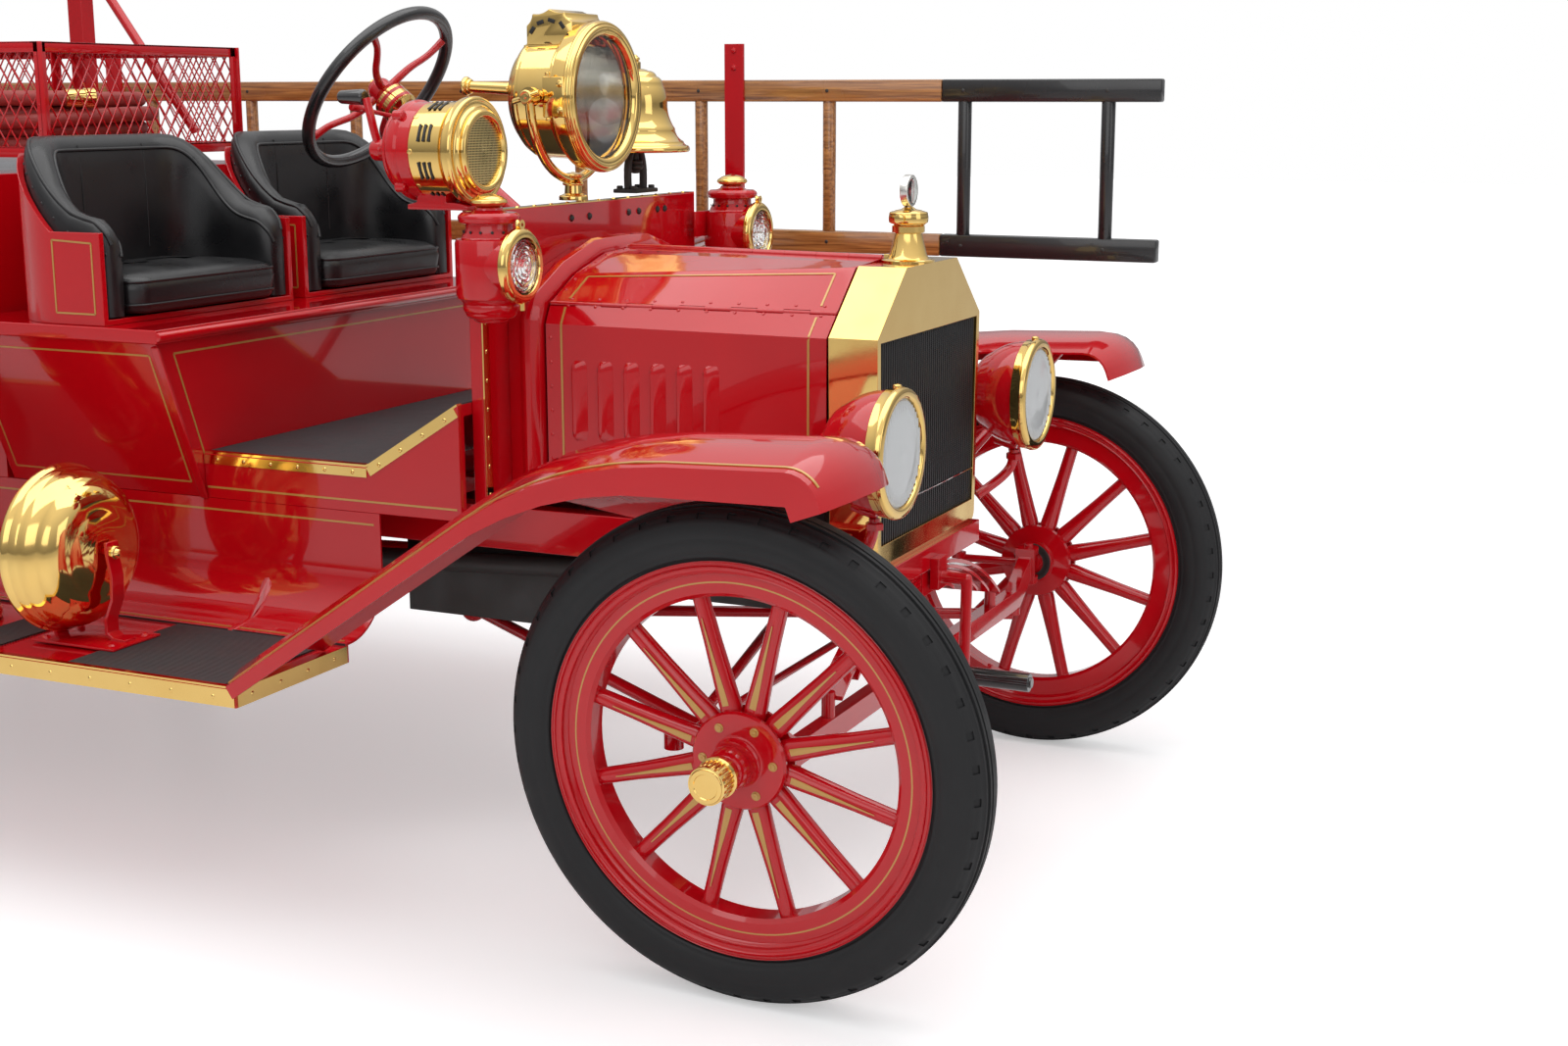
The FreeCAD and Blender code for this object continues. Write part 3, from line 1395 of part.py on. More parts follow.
def build_searchlight():
    r = searchlight_radius
    x = dash_x
    y = searchlight_y
    z = searchlight_z
    drum = turned([(-78, 0), (-78, 60), (-70, 84, -30), (-62, r - 30), (30, r - 22), (34, r - 4),
                   (62, r), (74, r - 6), (74, r - 18), (64, r - 24), (70, 0, -500)], x, y, z)
    hood_box = padded("XZ_Plane", [(-46, 0), (40, 0), (40, r + 12), (-6, r + 28, 90),
                                   (-46, r + 12, 90)], 120, x=x, y=y, z=z)
    yoke_r = r + 14
    outer = turned([(-9, yoke_r - 4), (9, yoke_r - 4), (9, yoke_r + 4), (-9, yoke_r + 4)], x, y, z)
    above = box(x - 20, x + 20, y - yoke_r - 40, y + yoke_r + 40, z + 14, z + yoke_r + 40)
    pivots = cylinder(x, y, z, LEFT, 12, yoke_r * 2 + 20, 0.5)
    post = cylinder(x, y, dash_top, UP, 13, z - yoke_r - dash_top)
    foot = box(x - 18, x + 18, y - 30, y + 30, dash_top, dash_top + 6)
    handle = rod((x, y - yoke_r - 4, z), (x - 88, y - yoke_r - 6, z + 14), 7)
    keep("searchlight", fuse(drum, hood_box, cut(outer, above), pivots, post, foot, handle))


def build_siren():
    y = siren_y
    z = siren_z
    body = turned([(-150, 0), (-150, 30), (-132, 62, -50), (-88, 66), (-84, 74), (-30, 74),
                   (-26, 84), (-6, 87), (0, 80), (0, 56), (-8, 52), (-4, 0, -200)],
                  siren_front_x, y, z)
    foot_x = dash_x - 30
    foot = padded("XZ_Plane", [(-46, 0), (46, 0), (46, 6), (20, 10), (14, 60), (-14, 60),
                               (-20, 10), (-46, 6)], 70, x=foot_x, y=y, z=dash_top + 0)
    gap = dash_thickness / 2 - 30
    arm = padded("XZ_Plane", [(-60, 0), (-gap, 0), (-gap, -60), (-60, -18)], 60,
                 x=foot_x, y=y, z=dash_top)
    crank = cylinder(siren_front_x - 150, y, z, -FORWARD, 12, 26)
    handle = rod((siren_front_x - 166, y, z), (siren_front_x - 172, y - 10, z + 64), 7)
    keep("siren", fuse(body, foot, arm, crank, handle))


def build_bell():
    x = bell_x
    y = bell_y
    r = bell_radius
    z = bell_lip_z
    tall = bell_height
    wall = 5
    bell = turned([(0, r), (0, r - wall), (20, r - 20), (60, r - 44, 140), (tall - 26, r - 54),
                   (tall - 14, 16), (tall - 12, 0), (tall, 0), (tall - 3, 20), (tall - 16, r - 47),
                   (64, r - 38), (20, r - 12, -150)], x, y, z, UP)
    post = cylinder(x, y, dash_top, UP, 13, z + tall - 12 - dash_top)
    dash_back = dash_x - dash_thickness / 2
    foot = box(x - 16, dash_back + dash_thickness, y - 34, y + 34, dash_top, dash_top + 10)
    leg = box(x - 10, dash_back, y - 20, y + 20, dash_top - 50, dash_top)
    keep("bell", fuse(bell, post, foot, leg))


def build_gong():
    r = gong_radius
    z = board_height + gong_centre_height
    x = gong_x - 30
    y = gong_y
    dome = turned([(-58, r), (-58, r - 4), (-20, r - 12), (26, 60, 150), (34, 0, 300), (38, 0),
                   (30, 62, -304), (-18, r - 7, -154)], x, y, z)
    bolt = cylinder(x - 74, y, z, FORWARD, 7, 122)
    back = box(x - 80, x - 72, y - 16, y + 16, board_height, z + 22)
    feet = box(x - 90, x + 40, y - 60, y + 60, board_height, board_height + 6)
    keep("gong", fuse(dome, bolt, back, feet))
    tank_z = board_height
    tank = turned([(0, 0), (0, extinguisher_radius), (extinguisher_height - 90, extinguisher_radius),
                   (extinguisher_height - 30, 46, 110), (extinguisher_height - 30, 36),
                   (extinguisher_height, 30), (extinguisher_height, 0)],
                  extinguisher_x, gong_y, tank_z, UP)
    keep("extinguisher", tank)


def build_crank():
    z = crank_z
    elbow = (crank_reach, 0, z)
    low = (crank_reach + 6, -crank_lean, z - crank_throw)
    grip_end = (crank_reach + 130, -crank_lean, z - crank_throw)
    bearing = box(crossmember_nose, crossmember_nose + 16, -22, 22, z - 20, spring_seat + 20)
    parts = [rod((crossmember_nose, 0, z), elbow, 10), rod(elbow, low, 10), rod(low, grip_end, 9),
             ball(*elbow, 10), ball(*low, 10),
             rod((crank_reach + 18, -crank_lean, z - crank_throw),
                 (crank_reach + 126, -crank_lean, z - crank_throw), 16)]
    keep("starting_crank", fuse(bearing, *parts))


def build_hose():
    bottom = basket_bottom + 5 + soft_gap
    coil = box(basket_back_x + 60, basket_front_x - 40, -basket_half_width + 30,
               basket_half_width - 30, bottom, bottom + 120)
    keep("hose_coil", coil)


builders = (build_frame, build_front_axle, build_radius_rods, build_rear_axle, build_engine,
            build_radiator, build_hood, build_dash, build_floor, build_seat_box, build_seats,
            build_wheels, build_knuckles, build_steering, build_front_fenders,
            build_rear_fenders, build_boards, build_bed, build_basket, build_hoop,
            build_ladder, build_holders, build_rear_step, build_lamps, build_searchlight,
            build_siren, build_bell, build_gong, build_crank, build_hose)
for build in builders:
    build()

# Check every object, then write one file for each piece
doc.recompute()
faults = []
for thing in doc.Objects:
    if "Invalid" in thing.State or "Error" in thing.State:
        faults.append("%s (%s)" % (thing.Label, thing.Name))
for name, solid in pieces.items():
    if solid.Shape.isNull() or not solid.Shape.isValid():
        faults.append(name)
if faults:
    raise RuntimeError("pieces that failed: " + ", ".join(faults))
os.makedirs("parts", exist_ok=True)
for name, solid in pieces.items():
    bounds = solid.Shape.BoundBox
    print("%-22s %d solids x %.0f..%.0f y %.0f..%.0f z %.0f..%.0f" % (
        name, len(solid.Shape.Solids), bounds.XMin, bounds.XMax, bounds.YMin, bounds.YMax,
        bounds.ZMin, bounds.ZMax))
    solid.Shape.exportStep("parts/%s.step" % name)
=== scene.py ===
"""A brass-era fire engine: finishes, lamps, seats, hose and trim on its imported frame."""
import json
import math

import bpy
from mathutils import Matrix, Vector

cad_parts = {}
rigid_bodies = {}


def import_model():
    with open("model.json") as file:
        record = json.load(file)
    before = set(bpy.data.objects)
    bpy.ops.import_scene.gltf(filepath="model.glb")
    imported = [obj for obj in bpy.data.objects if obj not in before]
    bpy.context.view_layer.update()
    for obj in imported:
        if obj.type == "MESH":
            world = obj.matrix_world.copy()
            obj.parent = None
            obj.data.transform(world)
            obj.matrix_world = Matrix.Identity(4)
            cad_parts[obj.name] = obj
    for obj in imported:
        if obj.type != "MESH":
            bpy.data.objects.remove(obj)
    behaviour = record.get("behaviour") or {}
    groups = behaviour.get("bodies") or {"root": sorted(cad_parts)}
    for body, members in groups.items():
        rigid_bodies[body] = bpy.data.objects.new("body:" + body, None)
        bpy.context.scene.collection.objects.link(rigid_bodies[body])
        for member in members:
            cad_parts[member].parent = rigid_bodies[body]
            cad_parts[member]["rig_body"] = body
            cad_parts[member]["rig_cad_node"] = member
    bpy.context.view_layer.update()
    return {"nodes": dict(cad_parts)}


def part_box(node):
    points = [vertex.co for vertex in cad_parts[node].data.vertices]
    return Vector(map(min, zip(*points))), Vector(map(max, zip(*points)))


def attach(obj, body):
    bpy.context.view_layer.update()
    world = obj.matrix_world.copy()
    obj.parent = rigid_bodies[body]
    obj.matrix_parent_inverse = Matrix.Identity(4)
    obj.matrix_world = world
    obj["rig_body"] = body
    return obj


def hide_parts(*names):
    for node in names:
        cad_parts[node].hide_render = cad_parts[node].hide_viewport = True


bpy.ops.object.select_all(action="SELECT")
bpy.ops.object.delete()
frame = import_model()
nodes = frame["nodes"]

MM = 0.001
ALONG = Vector((1, 0, 0))
ACROSS = Vector((0, 1, 0))
UP = Vector((0, 0, 1))
SIDES = (("left", 1), ("right", -1))
SIDE_HALF = 437  # half the width over the body's sides
SHELF = 1138  # the top of the dash's brass cap, where its fittings stand
BOARD_TOP = 417  # the top of the running boards' mats


# Places read from the frame
def low(node):
    return Vector(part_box(node)[0])


def high(node):
    return Vector(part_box(node)[1])


def middle(node):
    return (low(node) + high(node)) / 2


front_x = middle("tyre_front_right").x
rear_x = middle("tyre_rear_right").x


def at(x, y, z):
    """A point in millimetres: x from the front axle, y to the left, z from the ground."""
    return Vector((front_x + x * MM, y * MM, z * MM))


def mm(x, y, z):
    """An offset in millimetres."""
    return Vector((x, y, z)) * MM


def circle(count, first=0.0):
    """Angles of so many even steps round a circle."""
    return [2 * math.pi * (k + first) / count for k in range(count)]


# Working on meshes
def deselect():
    bpy.ops.object.select_all(action="DESELECT")


def pick(*objects):
    deselect()
    for obj in objects:
        obj.select_set(True)
    bpy.context.view_layer.objects.active = objects[0]


def edit(obj, mode="VERT"):
    pick(obj)
    bpy.ops.object.mode_set(mode="EDIT")
    bpy.ops.mesh.select_mode(type=mode)
    bpy.ops.mesh.select_all(action="SELECT")


def leave():
    bpy.ops.object.mode_set(mode="OBJECT")


def leave_outwards():
    """Point every face outwards and leave the mesh."""
    bpy.ops.mesh.select_all(action="SELECT")
    bpy.ops.mesh.normals_make_consistent(inside=False)
    leave()


def select_none(obj):
    """Unselect the mesh's faces, so that single ones can be selected."""
    edit(obj, "FACE")
    bpy.ops.mesh.select_all(action="DESELECT")
    leave()


def settle(obj):
    """Put the object's place, turn and size into its mesh."""
    pick(obj)
    bpy.ops.object.transform_apply(location=True, rotation=True, scale=True)
    return obj


def modify(obj, kind, **settings):
    modifier = obj.modifiers.new(kind.title(), kind)
    for name, value in settings.items():
        setattr(modifier, name, value)
    pick(obj)
    bpy.ops.object.modifier_apply(modifier=modifier.name)
    return obj


def bevelled(obj, width, segments=2, degrees=30):
    modify(obj, "BEVEL", width=width * MM, segments=segments, limit_method="ANGLE",
        angle_limit=math.radians(degrees), harden_normals=False)
    return obj


def smooth(obj, degrees=32):
    pick(obj)
    bpy.ops.object.shade_smooth_by_angle(angle=math.radians(degrees))
    return obj


def tidy_mesh(obj):
    """Merge doubles and point every face outwards."""
    edit(obj)
    bpy.ops.mesh.remove_doubles(threshold=1e-6)
    leave_outwards()
    return obj


def joined(name, *parts):
    pick(*parts)
    if len(parts) > 1:
        bpy.ops.object.join()
    parts[0].name = name
    return parts[0]


def again(obj, name, matrix):
    """A copy with its own mesh, moved by a matrix."""
    other = obj.copy()
    other.data = obj.data.copy()
    bpy.context.scene.collection.objects.link(other)
    other.name = name
    other.data.transform(matrix)
    return other


def about(point, axis, angle):
    """A turn about a line through a point."""
    there = Matrix.Translation(point)
    return there @ Matrix.Rotation(angle, 4, axis) @ there.inverted()


def stand(obj, centre, direction, own=UP):
    """Turn the object's own axis to a direction and move it to its centre."""
    obj.rotation_mode = "QUATERNION"
    obj.rotation_quaternion = own.rotation_difference(Vector(direction))
    obj.location = centre
    return settle(obj)


# Forms
def bowed(a, b, sag, count=8):
    """Points of the arc from a to b whose middle stands sag to the left of the chord."""
    a, b = Vector(a), Vector(b)
    chord = b - a
    half = chord.length / 2
    radius = (half * half + sag * sag) / (2 * sag)
    left = Vector((-chord.y, chord.x)).normalized()
    centre = (a + b) / 2 + left * (sag - radius)
    start = a - centre
    total = 2 * math.asin(max(-1, min(1, half / abs(radius))))
    if abs(sag) > half:
        total = 2 * math.pi - total
    turn = -total if sag > 0 else total
    points = []
    for k in range(1, count + 1):
        angle = turn * k / count
        cos, sin = math.cos(angle), math.sin(angle)
        points.append(centre + Vector((start.x * cos - start.y * sin,
            start.x * sin + start.y * cos)))
    return points


def outline(corners):
    """Plain corners, and (x, y, sag) corners that are reached on an arc."""
    points = [Vector(corners[0][:2])]
    for corner in corners[1:]:
        if len(corner) == 3:
            points += bowed(points[-1], corner[:2], corner[2])
        else:
            points.append(Vector(corner))
    return points


def revolve(name, profile, centre, direction=ALONG, steps=72):
    """A turned piece: the profile gives (along, radius) in millimetres."""
    points = [mm(p.x, 0, p.y) for p in outline(profile)]
    deselect()
    bpy.ops.mesh.primitive_plane_add(size=MM)
    obj = bpy.context.object
    bpy.ops.object.mode_set(mode="EDIT")
    bpy.ops.mesh.select_mode(type="VERT")
    bpy.ops.mesh.merge(type="CENTER")
    bpy.ops.transform.translate(value=points[0])
    for before, point in zip(points, points[1:]):
        bpy.ops.mesh.extrude_vertices_move(TRANSFORM_OT_translate={"value": point - before})
    bpy.ops.mesh.select_all(action="SELECT")
    bpy.ops.mesh.spin(steps=steps, angle=2 * math.pi, center=(0, 0, 0), axis=(1, 0, 0))
    bpy.ops.mesh.remove_doubles(threshold=1e-6)
    bpy.ops.mesh.normals_make_consistent(inside=False)
    leave()
    obj.name = name
    return smooth(stand(obj, centre, direction, own=ALONG))


def block(name, corner, opposite, edge=1.0):
    """A box between two corners with rounded edges."""
    corner, opposite = Vector(corner), Vector(opposite)
    deselect()
    bpy.ops.mesh.primitive_cube_add(size=1, location=(corner + opposite) / 2)
    obj = bpy.context.object
    obj.scale = [abs(v) for v in (opposite - corner)]
    settle(obj)
    obj.name = name
    return smooth(bevelled(obj, edge))


def bar(name, start, end, radius, tip=None, sides=20, edge=0.8):
    """A round bar or taper between two points, radii in millimetres."""
    start, end = Vector(start), Vector(end)
    deselect()
    bpy.ops.mesh.primitive_cone_add(vertices=sides, radius1=radius * MM,
        radius2=(radius if tip is None else tip) * MM, depth=(end - start).length)
    obj = stand(bpy.context.object, (start + end) / 2, (end - start).normalized())
    obj.name = name
    return smooth(bevelled(obj, edge))


def loft(name, stations, centre, direction, sides=24, own_turn=0.0):
    """Rings of (distance, half width, half depth) in millimetres, one skin over them."""
    first = stations[0]
    deselect()
    bpy.ops.mesh.primitive_circle_add(vertices=sides, radius=MM, fill_type="NGON")
    obj = bpy.context.object
    obj.scale = (first[1], first[2], 1)
    obj.location = (0, 0, first[0] * MM)
    settle(obj)
    bpy.ops.object.mode_set(mode="EDIT")
    bpy.ops.mesh.select_all(action="SELECT")
    for before, station in zip(stations, stations[1:]):
        bpy.ops.mesh.extrude_region_move(TRANSFORM_OT_translate={"value": (0, 0,
            (station[0] - before[0]) * MM)})
        bpy.ops.transform.resize(value=(station[1] / before[1], station[2] / before[2], 1),
            center_override=(0, 0, station[0] * MM))
    leave_outwards()
    obj.rotation_euler = (0, 0, own_turn)
    settle(obj)
    obj.name = name
    return smooth(stand(obj, centre, direction))


def round_line(points, radius, resolution, roundness):
    """A curve with a round section along a smooth line inside its points."""
    deselect()
    bpy.ops.curve.primitive_nurbs_path_add()
    obj = bpy.context.object
    line = obj.data
    line.splines.clear()
    spline = line.splines.new("NURBS")
    spline.points.add(len(points) - 1)
    for knot, point in zip(spline.points, points):
        knot.co = (*point, 1)
    spline.order_u = 3
    spline.use_endpoint_u = True
    spline.resolution_u = resolution
    line.dimensions = "3D"
    line.bevel_depth = radius * MM
    line.bevel_resolution = roundness
    line.use_fill_caps = True
    return obj


def tube(name, points, radius, resolution=6, taper=()):
    """A round tube as a mesh, with a share of the radius at each point if it tapers."""
    obj = round_line(points, radius, resolution, 5)
    for knot, share in zip(obj.data.splines[0].points, taper):
        knot.radius = share
    pick(obj)
    bpy.ops.object.convert(target="MESH")
    obj = bpy.context.object
    obj.name = name
    settle(obj)
    return smooth(tidy_mesh(obj))


def plate(name, corners, thickness, matrix, edge=0.8):
    """A flat plate: an outline in millimetres, extruded, then placed by a matrix."""
    points = outline(corners)
    deselect()
    bpy.ops.mesh.primitive_circle_add(vertices=len(points), radius=1)
    obj = bpy.context.object
    for vertex, point in zip(obj.data.vertices, points):
        vertex.co = (point.x * MM, point.y * MM, -thickness * MM / 2)
    edit(obj)
    bpy.ops.mesh.edge_face_add()
    bpy.ops.mesh.extrude_region_move(TRANSFORM_OT_translate={"value": (0, 0, thickness * MM)})
    leave_outwards()
    obj.data.transform(matrix)
    obj.name = name
    return smooth(bevelled(obj, edge))


def facing(origin, right, up):
    """The matrix that puts a flat outline's x and y along two directions."""
    right, up = Vector(right).normalized(), Vector(up).normalized()
    out = right.cross(up)
    matrix = Matrix((right, up, out)).transposed().to_4x4()
    matrix.translation = origin
    return matrix


def painted(obj, material, chosen):
    """Give the chosen faces a second finish."""
    obj.data.materials.append(material)
    index = len(obj.data.materials) - 1
    for face in obj.data.polygons:
        if chosen(face):
            face.material_index = index
    return obj


# Finishes
def set_inputs(node, **values):
    """Set a node's inputs; the spaces in their names are underscores here."""
    for name, value in values.items():
        node.inputs[name.replace("_", " ")].default_value = value


def shade_node(tree, kind, **values):
    node = tree.nodes.new("ShaderNode" + kind)
    set_inputs(node, **values)
    return node


def ramp_node(tree, first, last, *between):
    """A colour ramp of (position, colour) stops."""
    ramp = shade_node(tree, "ValToRGB")
    stops = ramp.color_ramp.elements
    for stop, (position, colour) in zip(stops, (first, last)):
        stop.position, stop.color = position, (*colour, 1)
    for position, colour in between:
        stops.new(position).color = (*colour, 1)
    return ramp


def wire_up(tree, *links):
    """Join nodes: each link says from, its output, to and its input."""
    for start, out, end, into in links:
        tree.links.new(start.outputs[out], end.inputs[into])


def surface_group():
    """Uneven sheen and fine relief, the same for every finish, with its own values."""
    group = bpy.data.node_groups.new("surface_variation", "ShaderNodeTree")
    for title, value in (("Blotch Scale", 9.0), ("Grain Scale", 300.0), ("Low", 0.1),
            ("High", 0.2)):
        socket = group.interface.new_socket(name=title, in_out="INPUT",
            socket_type="NodeSocketFloat")
        socket.default_value = value
    for title in ("Sheen", "Relief", "Blotch"):
        group.interface.new_socket(name=title, in_out="OUTPUT", socket_type="NodeSocketFloat")
    start = group.nodes.new("NodeGroupInput")
    end = group.nodes.new("NodeGroupOutput")
    place = shade_node(group, "TexCoord")
    blotch = shade_node(group, "TexNoise", Detail=4.0)
    grain = shade_node(group, "TexNoise", Detail=3.0)
    sheen = shade_node(group, "MapRange", From_Min=0.36, From_Max=0.64)
    wire_up(group, (start, "Blotch Scale", blotch, "Scale"), (place, "Object", blotch, "Vector"),
        (start, "Grain Scale", grain, "Scale"), (place, "Object", grain, "Vector"),
        (blotch, "Fac", sheen, "Value"), (start, "Low", sheen, "To Min"),
        (start, "High", sheen, "To Max"), (sheen, "Result", end, "Sheen"),
        (grain, "Fac", end, "Relief"), (blotch, "Fac", end, "Blotch"))
    return group


variation = surface_group()


def finish(name, colour, sheen=(0.1, 0.2), metal=0.0, coat=0.0, second=None, blotch=9.0,
        grain=300.0, relief=0.05, depth=0.0005, clear=0.0, ior=1.5, gloss=0.5):
    """A finish: colour that drifts towards a second one, uneven gloss and fine relief."""
    material = bpy.data.materials.new(name)
    material.use_nodes = True
    tree = material.node_tree
    shader = tree.nodes["Principled BSDF"]
    set_inputs(shader, Metallic=metal, Coat_Weight=coat, Coat_Roughness=0.03, IOR=ior,
        Transmission_Weight=clear, Specular_IOR_Level=gloss, Base_Color=(*colour, 1))
    surface = tree.nodes.new("ShaderNodeGroup")
    surface.node_tree = variation
    set_inputs(surface, Blotch_Scale=blotch, Grain_Scale=grain, Low=sheen[0], High=sheen[1])
    wire_up(tree, (surface, "Sheen", shader, "Roughness"))
    if second:
        mix = tree.nodes.new("ShaderNodeMix")
        mix.data_type = "RGBA"
        set_inputs(mix, A=(*colour, 1), B=(*second, 1))
        wire_up(tree, (surface, "Blotch", mix, "Factor"), (mix, "Result", shader, "Base Color"))
    if relief:
        bump = shade_node(tree, "Bump", Strength=relief, Distance=depth)
        wire_up(tree, (surface, "Relief", bump, "Height"), (bump, "Normal", shader, "Normal"))
    return material


red = finish("red_enamel", (0.52, 0.002, 0.007), (0.1, 0.16), coat=0.8, gloss=0.2,
    second=(0.45, 0.0015, 0.006), grain=60, relief=0.02)
black = finish("black_enamel", (0.012, 0.012, 0.013), (0.12, 0.2), coat=0.8, relief=0.02, grain=60)
brass = finish("polished_brass", (0.88, 0.62, 0.22), (0.05, 0.13), metal=1.0,
    second=(0.80, 0.52, 0.16), blotch=14, grain=220, relief=0.03)
gold = finish("gold_striping", (0.50, 0.27, 0.06), (0.28, 0.4), metal=0.25, coat=0.6)
leather = finish("black_leather", (0.006, 0.006, 0.007), (0.26, 0.4), blotch=14,
    second=(0.011, 0.011, 0.012), grain=420, relief=0.3, depth=0.0008)
rubber = finish("tyre_rubber", (0.010, 0.010, 0.011), (0.48, 0.64), second=(0.018, 0.018, 0.019),
    blotch=20, grain=500, relief=0.25, gloss=0.3)
iron = finish("oiled_iron", (0.035, 0.035, 0.037), (0.35, 0.6), metal=0.5,
    second=(0.06, 0.055, 0.05), grain=160, relief=0.3)
mat = finish("black_matting", (0.022, 0.022, 0.024), (0.55, 0.7), grain=500, relief=0.3)
hose_red = finish("hose_rubber", (0.36, 0.045, 0.035), (0.45, 0.62), second=(0.28, 0.03, 0.028),
    blotch=22, grain=380, relief=0.35)
lacquer = finish("black_lacquer", (0.014, 0.014, 0.015), (0.22, 0.34), coat=0.4, relief=0.05)
# Black paint of the radiator core; the same flat black is also painted shade in the cowl lamps'
# vent holes, the searchlight's and siren's slots and the louvre mouths.
core_black_and_shade = finish("core_black_and_shade", (0.012, 0.012, 0.013), (0.35, 0.5), relief=0.1)
nickel = finish("nickel", (0.72, 0.70, 0.66), (0.12, 0.25), metal=1.0)
silver = finish("reflector_silver", (0.93, 0.93, 0.92), (0.04, 0.08), metal=1.0)
glass = finish("lamp_glass", (0.95, 0.97, 0.97), (0.0, 0.02), clear=1.0, ior=1.46, relief=0)
fluted = finish("fluted_glass", (0.86, 0.88, 0.89), (0.05, 0.1), clear=0.45, ior=1.46, relief=0)
copper = finish("polished_copper", (0.80, 0.42, 0.24), (0.06, 0.15), metal=1.0, grain=220)
dial = finish("enamel_dial", (0.8, 0.8, 0.76), (0.2, 0.3), coat=0.5)


def oak_finish():
    """Varnished oak: long streaks and darker pores along the rail."""
    material = finish("varnished_oak", (0.36, 0.17, 0.055), (0.18, 0.3), coat=0.6)
    tree = material.node_tree
    place = shade_node(tree, "TexCoord")
    stretch = shade_node(tree, "Mapping", Scale=(2.2, 60, 60))
    streaks = shade_node(tree, "TexNoise", Scale=3.0, Detail=8.0, Distortion=0.6)
    ramp = ramp_node(tree, (0.3, (0.16, 0.055, 0.014)), (0.68, (0.50, 0.22, 0.06)))
    wire_up(tree, (place, "Object", stretch, "Vector"), (stretch, "Vector", streaks, "Vector"),
        (streaks, "Fac", ramp, "Fac"), (ramp, "Color", tree.nodes["Principled BSDF"],
        "Base Color"))
    return material


oak = oak_finish()


# Putting pieces on the vehicle
def put(obj, body, material, *replaced):
    """Finish a piece: its material, the body it moves with and the nodes it stands for."""
    obj.data.materials.clear()
    obj.data.materials.append(material)
    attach(obj, body)
    if replaced:
        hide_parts(*replaced)
    return obj


def fixed(obj, material, *replaced):
    """Finish a piece that stands still on the chassis."""
    return put(obj, "chassis", material, *replaced)


def body_of(node):
    return nodes[node]["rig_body"]


def dressed(node, material, edge=1.2, degrees=32):
    """A node's own shape with its edges rounded for the light, in its finish."""
    obj = nodes[node].copy()
    obj.data = nodes[node].data.copy()
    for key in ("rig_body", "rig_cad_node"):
        if key in obj:
            del obj[key]
    obj.parent = None
    obj.matrix_world = Matrix.Identity(4)
    bpy.context.scene.collection.objects.link(obj)
    obj.name = node + "_skin"
    edit(obj)
    bpy.ops.mesh.remove_doubles(threshold=1e-5)
    bpy.ops.mesh.dissolve_limited(angle_limit=math.radians(0.6))
    leave()
    bevelled(obj, edge, 2, degrees)
    smooth(obj, degrees)
    modify(obj, "WEIGHTED_NORMAL", keep_sharp=True)
    return put(obj, body_of(node), material, node)


# Wheels: twelve tapered spokes, a felloe in a steel rim, a bolted hub and a brass cap
SPOKES = 12
TYRE_RADIUS = 381
HUB_FACE = 24
CAMBER = math.radians(3)
HALF_TRACK = 711
TUBE_RADIUS = 44.5


def stripe_on_spoke(angle):
    """A gold line that narrows towards the rim, just proud of the spoke's front."""
    line = loft("spoke_line", [(82, 5.2, 0.5), (100, 5.0, 0.5), (150, 2.6, 0.45), (215, 0.7, 0.4)],
        (0, 15.2 * MM, 0), UP, sides=8)
    line.data.transform(about(Vector((0, 0, 0)), ACROSS, angle))
    return line


